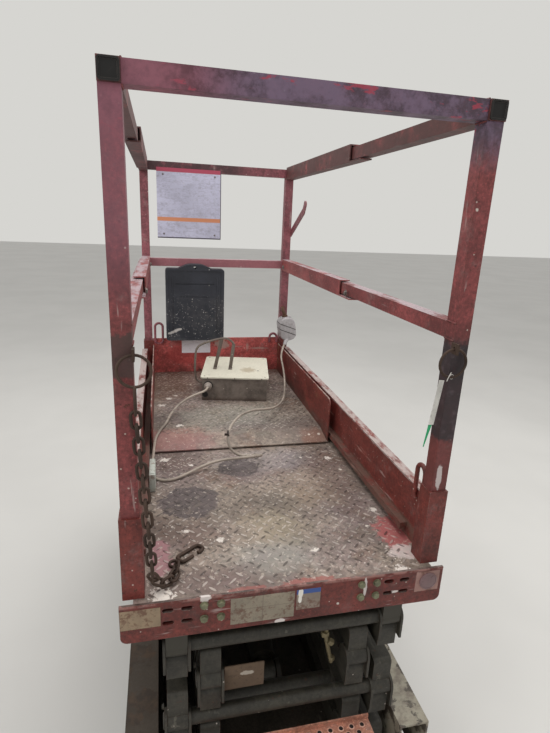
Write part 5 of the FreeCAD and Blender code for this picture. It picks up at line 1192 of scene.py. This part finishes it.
@operator("Outlet", "outlet")
def make_outlet(sizes, colours):
    """Models the leaning grey outlet with its lid, elbow and strain relief"""
    middle = Vector(OUTLET_MIDDLE)
    lean = math.radians(OUTLET_LEAN)
    turn = Euler((0, lean, 0)).to_matrix().to_4x4()
    place = Matrix.Translation(middle) @ turn

    def set_in(piece):
        piece.data.transform(place)
        return piece

    width, depth, height = OUTLET_SIZE
    shell = block((width, depth, height), (0, 0, 0), edge=0)
    round_edges(shell, 0.034, 3, lambda edge: abs(edge.verts[0].co.y - edge.verts[1].co.y) > 0.02)
    round_edges(shell, 0.007, 3, lambda edge: abs(edge.verts[0].co.y - edge.verts[1].co.y) < 0.001)
    parts = [set_in(shell)]
    for y, lip in ((-0.012, 0.0012), (0.018, 0.0008)):
        band = block((width + 2 * lip, 0.003, height + 2 * lip), (0, y, 0), edge=0)
        round_edges(band, 0.0345, 3, lambda edge: abs(edge.verts[0].co.y - edge.verts[1].co.y) > 0.002)
        parts.append(set_in(band))
    for x in (-0.022, 0.022):
        parts.append(set_in(block((0.010, 0.012, 0.012), (x, -0.018, height / 2 - 0.003), edge=0.002)))
    for x in (-0.024, 0.0, 0.024):
        parts.append(set_in(block((0.005, 0.003, height * 0.55), (x, -depth / 2 + 0.0004, -0.008), edge=0.001)))
    tip, before = Vector(CORD_ROUTE[-1]), Vector(CORD_ROUTE[-2])
    way = (tip - before).normalized()
    rings = [(0.0062, 0.0)]
    for step in range(5):
        near = 0.004 + step * 0.008
        rings += [(0.0072 + step * 0.0011, near), (0.0064 + step * 0.0011, near + 0.003),
                  (0.0078 + step * 0.0011, near + 0.006)]
    rings.append((0.013, 0.055))
    parts.append(turned(tip, way, rings, 24))
    arm_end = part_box("front_frame")[0][1]
    parts.append(slab((middle.x - 0.012, middle.y + 0.03, middle.z - 0.02), (middle.x + 0.012, arm_end, middle.z + 0.02)))
    body = joined(parts)

    def scuffs(f, base):
        stain = f.ramp(f.noise(46.0, 7.0, 0.75), 0.55, 0.66)
        base = f.mix(f.both(stain, 0.45), base, tint(92, 80, 74))
        tilt = f.math("MULTIPLY_ADD", f.axis(0), 0.35, f.axis(2))
        gaps = f.either(*(f.both(f.ramp(tilt, level - 0.0028, level - 0.0018), f.ramp(tilt, level + 0.0028,
                                                                                    level + 0.0018))
                          for level in (1.373, 1.402)))
        return f.mix(f.both(gaps, 0.85), base, tint(38, 34, 33))

    finished(body, "outlet_shell", "extension",
             plain_finish("outlet_grey", tint(172, 168, 170), 0.45, vary=0.14, specks=0.4, patches=scuffs),
             35)
    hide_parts("outlet")
    rusty = plain_finish("rusty_iron", tint(96, 66, 48), 0.7, 0.2, vary=0.35, grime=tint(52, 36, 30))
    elbow = wire([set_point(place, (0, 0.004, height / 2 - 0.004)), set_point(place, (0, 0.004, height / 2 + 0.022)),
                  set_point(place, (-0.004, 0.022, height / 2 + 0.034)),
                  (middle.x - 0.006, arm_end - 0.0005, middle.z + height / 2 + 0.034)], 0.009, 12)
    nut = turned(set_point(place, (0, 0.004, height / 2 - 0.002)), turn @ Vector((0, 0, 1)),
                 [(0.015, 0), (0.015, 0.009), (0.0135, 0.010)], 6)
    finished(joined([elbow, nut]), "outlet_elbow", "extension", rusty, 40)


def set_point(matrix, point):
    return matrix @ Vector(point)


# Chain and rings

def chain_link(length, width, bar):
    """An oblong link of round bar, long along Z and flat across Y."""
    drop_all()
    bpy.ops.mesh.primitive_torus_add(major_segments=16, minor_segments=8, major_radius=(width - bar) / 2,
                                     minor_radius=bar / 2, rotation=(math.radians(90), 0, 0))
    piece = settle(bpy.context.object)
    for way in (1, -1):
        pick(piece, lambda vert: vert.co.z * way > 0.0001, "VERT")
        bpy.ops.transform.translate(value=(0, 0, way * (length - width) / 2))
        bpy.ops.object.mode_set(mode="OBJECT")
    return piece


def laid(link, middle, way, roll):
    """A copy of a link at its middle, long along way, rolled about its length."""
    turn = Vector((0, 0, 1)).rotation_difference(Vector(way)).to_matrix().to_4x4()
    return copied(link, matrix=Matrix.Translation(middle) @ turn @ Matrix.Rotation(math.radians(roll), 4, "Z"))


@operator("Entry chain", "chain")
def make_chain(sizes, colours):
    """Models the chain of round links from the left ring to the hook on the deck"""
    snap = chain_link(0.064, 0.022, 0.0058)
    first = chain_link(sizes.link_length, sizes.link_width, sizes.link_bar)
    pieces = [laid(snap, CHAIN_ROUTE[0][:2] + (SNAP_MIDDLE,), (0, 0, 1), 90)]
    spacing = sizes.link_length - 2 * sizes.link_bar - CHAIN_PLAY
    left = 0.0
    number = 0
    for start, end in zip(CHAIN_ROUTE, CHAIN_ROUTE[1:]):
        start, end = Vector(start), Vector(end)
        way = (start - end).normalized()
        while left <= (end - start).length:
            middle = start - way * left
            lying = 45 if middle.z < LYING_BELOW else 0
            pieces.append(laid(first, middle, way, 90 * (number % 2) + lying))
            left += spacing
            number += 1
        left -= (end - start).length
    for spare in (snap, first):
        bpy.data.objects.remove(spare)
    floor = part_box("entry_chain")[0][2]
    pieces.append(wire([(-0.270 + 0.0125 * math.cos(math.radians(a)), -0.690 + 0.0125 * math.sin(math.radians(a)),
                         floor + 0.0035) for a in range(0, 360, 45)], 0.0033, 12, closed=True))
    turn = Matrix.Rotation(math.radians(HOOK_TURN), 4, "Z") @ Matrix.Rotation(math.radians(90), 4, "X")
    place = Matrix.Translation((*HOOK_PLACE, floor + 0.0046)) @ turn
    line = [place @ Vector((x, 0, z)) for x, z in HOOK_ROUTE]
    pieces.append(wire(line, 0.0046, 12))
    chain = joined(pieces)
    rust = plain_finish("chain_rust", tint(72, 56, 47), 0.6, 0.35, vary=0.35, specks=0.2, grime=tint(36, 28, 25))
    finished(chain, "round_chain", "platform", rust, 50)
    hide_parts("entry_chain")
    dress(rust, "post_rings")

    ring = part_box("post_rings")[1]
    x = ring[0] - 0.034
    paper = wire([(x - 0.004, -0.800, 1.496), (x - 0.012, -0.806, 1.490), (x - 0.016, -0.806, 1.478)], 0.0011, 8)
    tie = wire([(x + 0.0005 + 0.0045 * math.cos(math.radians(a)), -0.797, 1.4855 + 0.0062 * math.sin(math.radians(a)))
                for a in range(0, 360, 60)], 0.0009, 8, closed=True)
    finished(joined([paper, tie]), "tag_tie", "platform",
             plain_finish("tie_white", tint(196, 192, 186), 0.4), 40)
    tag = []
    for low, high, wide, name in TAG_PARTS:
        start, end = Vector(low), Vector(high)
        lean = math.atan2(start.x - end.x, start.z - end.z)
        strip = block((wide, 0.0007, (start - end).length), (start + end) / 2, (0, lean, math.radians(12)), edge=0)
        if name == "green":
            pick(strip, lambda polygon: polygon.normal.z < -0.7)
            bpy.ops.transform.resize(value=(0.3, 1, 1))
            bpy.ops.object.mode_set(mode="OBJECT")
        tag.append(strip)
    finished(tag[0], "tag_paper", "platform", plain_finish("tag_paper", tint(206, 204, 198), 0.6, specks=0))
    finished(tag[1], "tag_tail", "platform", plain_finish("tag_green", tint(38, 158, 104), 0.55, specks=0))


# Scissor stack

@operator("Scissor fittings", "scissor")
def make_scissor(sizes, colours):
    """Adds the pin caps, rings and hose of the scissor arms' rear ends"""
    worn = worn_paint("fitting_paint", tint(52, 50, 43), along=0, fade=0.15, grime=0.5, specks=0.1,
                      bare=tint(104, 98, 86))
    for level in (1, 2, 3, 4):
        outer = level % 2
        height = ARM_PINS[level - 1]
        side = "outer" if outer else "inner"
        caps = []
        for way in (-1, 1):
            edge = (0.302 if outer else 0.222) * way
            cap = turned((edge, PIN_Y, height), (way, 0, 0),
                         [(0.019, -0.0005), (0.019, 0.0022), (0.0165, 0.0035), (0.012, 0.0038), (0.0115, 0.0025),
                          (0.004, 0.0022)], 28)
            caps.append(cap)
            caps.append(hex_head((edge + 0.0008 * way, PIN_Y + 0.024, height + 0.018), (way, 0, 0), 0.010, 0.004, 1.3))
        finished(joined(caps), f"pin_caps_{level}", f"arm_{level}_{side}", worn, 35)
    brown = plain_finish("brown_plate", tint(96, 78, 62), 0.7, vary=0.2, specks=0.2, grime=tint(58, 44, 36),
                         patches=lambda f, base: f.mix(f.both(f.blot((-0.100, -0.79, 0.722), (0.018, 0.03, 0.006),
                                                                    0.9, 60.0), 0.8), base, tint(178, 168, 156)))
    plate = slab((-0.156, PLATE_Y, 0.676), (-0.056, PLATE_Y + 0.004, 0.749), edge=0.001)
    lip = slab((-0.156, PLATE_Y, 0.676), (-0.056, PLATE_Y + 0.016, 0.680), edge=0.001)
    finished(joined([plate, lip]), "stop_plate", "arm_4_inner", brown, 30)
    upper, bend, lower = (Vector((x, PIPE_Y, z)) for x, z in PIPE_PLACES)
    pipe = wire([upper, upper.lerp(bend, 0.7), bend, bend.lerp(lower, 0.3), lower], 0.0055, 12)
    parts = [pipe]
    for place, way, wide, long in ((bend + Vector((-0.004, 0, 0.010)), (0, 0, 1), 0.019, 0.014),
                                   (bend + Vector((0.006, 0, -0.006)), (1, 0, -0.9), 0.017, 0.016),
                                   (lower + Vector((0, 0, 0.006)), (0, 0, 1), 0.015, 0.012)):
        radius = wide / math.sqrt(3)
        parts.append(turned(place, way, [(radius * 0.9, 0), (radius, 0.0012), (radius, long - 0.0012),
                                         (radius * 0.9, long)], 6))
    brass = plain_finish("dull_brass", tint(118, 108, 82), 0.45, 0.4, vary=0.3, grime=tint(58, 50, 40))
    finished(joined(parts), "bent_pipe", "arm_4_inner", brass, 35)


# Ladder

@operator("Ladder steps", "ladder")
def make_ladder(sizes, colours):
    """Adds the raised round holes and the curled edge of the ladder's steps"""
    punched = []
    for top in STEP_TOPS:
        for row in range(3):
            for place in range(14 if row % 2 else 15):
                x = -0.205 + place * 0.0293 + (0.01465 if row % 2 else 0)
                y = STEP_REAR + 0.012 + row * 0.018
                punched.append((x, y, top))
    collar = turned((0, 0, 0), (0, 0, 1), [(0.0088, -0.0004), (0.0072, 0.0014), (0.0062, 0.0016), (0.0056, 0.0002)], 12)
    collars = joined([copied(collar, place) for place in punched])
    rim = plain_finish("step_metal", tint(206, 160, 142), 0.5, 0.1, vary=0.2, specks=0.5, grime=tint(120, 76, 60))
    finished(collars, "step_collars", "base", rim, 40)
    # Dark discs in the step holes stand for the shade inside them: painted shade.
    hole = turned((0, 0, 0), (0, 0, 1), [(0.0057, 0.0001), (0.0055, 0.0005)], 10)
    holes = joined([copied(hole, place) for place in punched])
    for spare in (collar, hole):
        bpy.data.objects.remove(spare)
    finished(holes, "step_hole_shadows", "base", plain_finish("step_shadow", tint(34, 28, 26), 0.9, specks=0), 40)


# Wheels

@operator("Wheel fittings", "wheels")
def make_wheels(sizes, colours):
    """Adds the wheel nuts and hub caps on the four rims"""
    steel = plain_finish("wheel_steel", tint(112, 104, 94), 0.5, 0.4, vary=0.25, specks=0.2, grime=tint(70, 56, 44))
    for end in ("front", "rear"):
        for side, way in (("left", -1), ("right", 1)):
            low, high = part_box(f"rim_{end}_{side}")
            middle = (Vector(low) + Vector(high)) / 2
            face = high[0] if way > 0 else low[0]
            parts = [turned((face - 0.0035 * way, middle.y, middle.z), (way, 0, 0),
                            [(0.030, -0.002), (0.030, 0.0015), (0.026, 0.003), (0.012, 0.0034)], 24)]
            for step in range(5):
                angle = math.radians(72 * step + 20)
                parts.append(turned((face - 0.0035 * way, middle.y + 0.052 * math.cos(angle),
                                     middle.z + 0.052 * math.sin(angle)), (way, 0, 0),
                                    [(0.0095, -0.002), (0.0095, 0.0022), (0.007, 0.0033)], 6))
            finished(joined(parts), f"nuts_{end}_{side}", f"wheel_{end}_{side}", steel, 35)


# Rails

@operator("Rail fittings", "rails")
def make_rails(sizes, colours):
    """Adds weld beads, rail bolts, the cord clip and the small chain on the front socket"""
    weld = worn_paint("weld_paint", linear(colours.frame_red), along=2, fade=0.3, grime=0.6, specks=0.3)
    beads = []
    for x in (-0.361, 0.361):
        for z in (1.5835, 2.026):
            for rise in (-0.0195, 0.0195):
                way = -1 if x > 0 else 1
                beads.append(wire([(x + way * 0.0195, -0.784, z + rise), (x + way * 0.0200, -0.775, z + rise * 1.03),
                                   (x + way * 0.0195, -0.748, z + rise)], 0.0024, 8))
    finished(joined(beads), "entry_welds", "platform", weld, 60)
    steel = plain_finish("rail_bolt_steel", tint(120, 112, 108), 0.42, 0.4, vary=0.2, specks=0.4)
    heads = []
    for x, way in ((0.333, -1), (-0.333, 1)):
        for y in (-0.135, 0.765):
            for z in (1.5745,):
                heads.append(hex_head((x, y, z), (way, 0, 0), 0.013, 0.005))
    finished(joined(heads), "sleeve_bolts", "extension", steel, 30)
    tubes = []
    inner = RAIL_TUBE - SLIDE_TUBE_PLAY
    for side in ("left", "right"):
        (low, high), (rear, front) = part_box(f"main_rail_{side}"), (box[1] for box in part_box(f"sleeve_rail_{side}"))
        for z in (high[2] - RAIL_TUBE / 2, low[2] + RAIL_TUBE / 2):
            tubes.append(block((inner, front - rear + SLIDE_TUBE_HOLD, inner),
                               ((low[0] + high[0]) / 2, (front + rear - SLIDE_TUBE_HOLD) / 2, z), edge=0.002))
    finished(joined(tubes), "slide_tubes", "extension",
             worn_paint("slide_tube_paint", linear(colours.rust), along=1, fade=0.7, grime=0.4, specks=0.3), 30)
    dark = plain_finish("clip_steel", tint(58, 48, 44), 0.5, 0.3, specks=0.3)
    clip = block((0.006, 0.022, 0.016), (-0.063, -0.117, 1.0625), (math.radians(38), 0, 0), edge=0.0012)
    ear = block((0.012, 0.004, 0.013), (-0.071, -0.125, 1.0645), (math.radians(38), 0, 0), edge=0.001)
    finished(joined([clip, ear]), "cord_clip", "extension", dark, 30)


class LIFT_PT_panel(bpy.types.Panel):
    """Lists the steps that finish the lift"""
    bl_idname = "LIFT_PT_panel"
    bl_label = "Scissor lift"
    bl_space_type = "VIEW_3D"
    bl_region_type = "UI"
    bl_category = "Scissor lift"

    def draw(self, context):
        for kind in OPERATORS:
            self.layout.operator(kind.bl_idname)
        for group in (context.scene.lift_colours, context.scene.lift_sizes):
            column = self.layout.column()
            for key in type(group).__annotations__:
                column.prop(group, key)


def register():
    for kind in (LiftColours, LiftSizes, *OPERATORS, LIFT_PT_panel):
        bpy.utils.register_class(kind)
    bpy.types.Scene.lift_colours = PointerProperty(type=LiftColours)
    bpy.types.Scene.lift_sizes = PointerProperty(type=LiftSizes)


def unregister():
    del bpy.types.Scene.lift_sizes
    del bpy.types.Scene.lift_colours
    for kind in (LIFT_PT_panel, *reversed(OPERATORS), LiftSizes, LiftColours):
        bpy.utils.unregister_class(kind)


def main():
    register()
    for kind in OPERATORS:
        getattr(bpy.ops.lift, kind.bl_idname.split(".")[1])()
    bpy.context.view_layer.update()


if __name__ == "__main__":
    main()
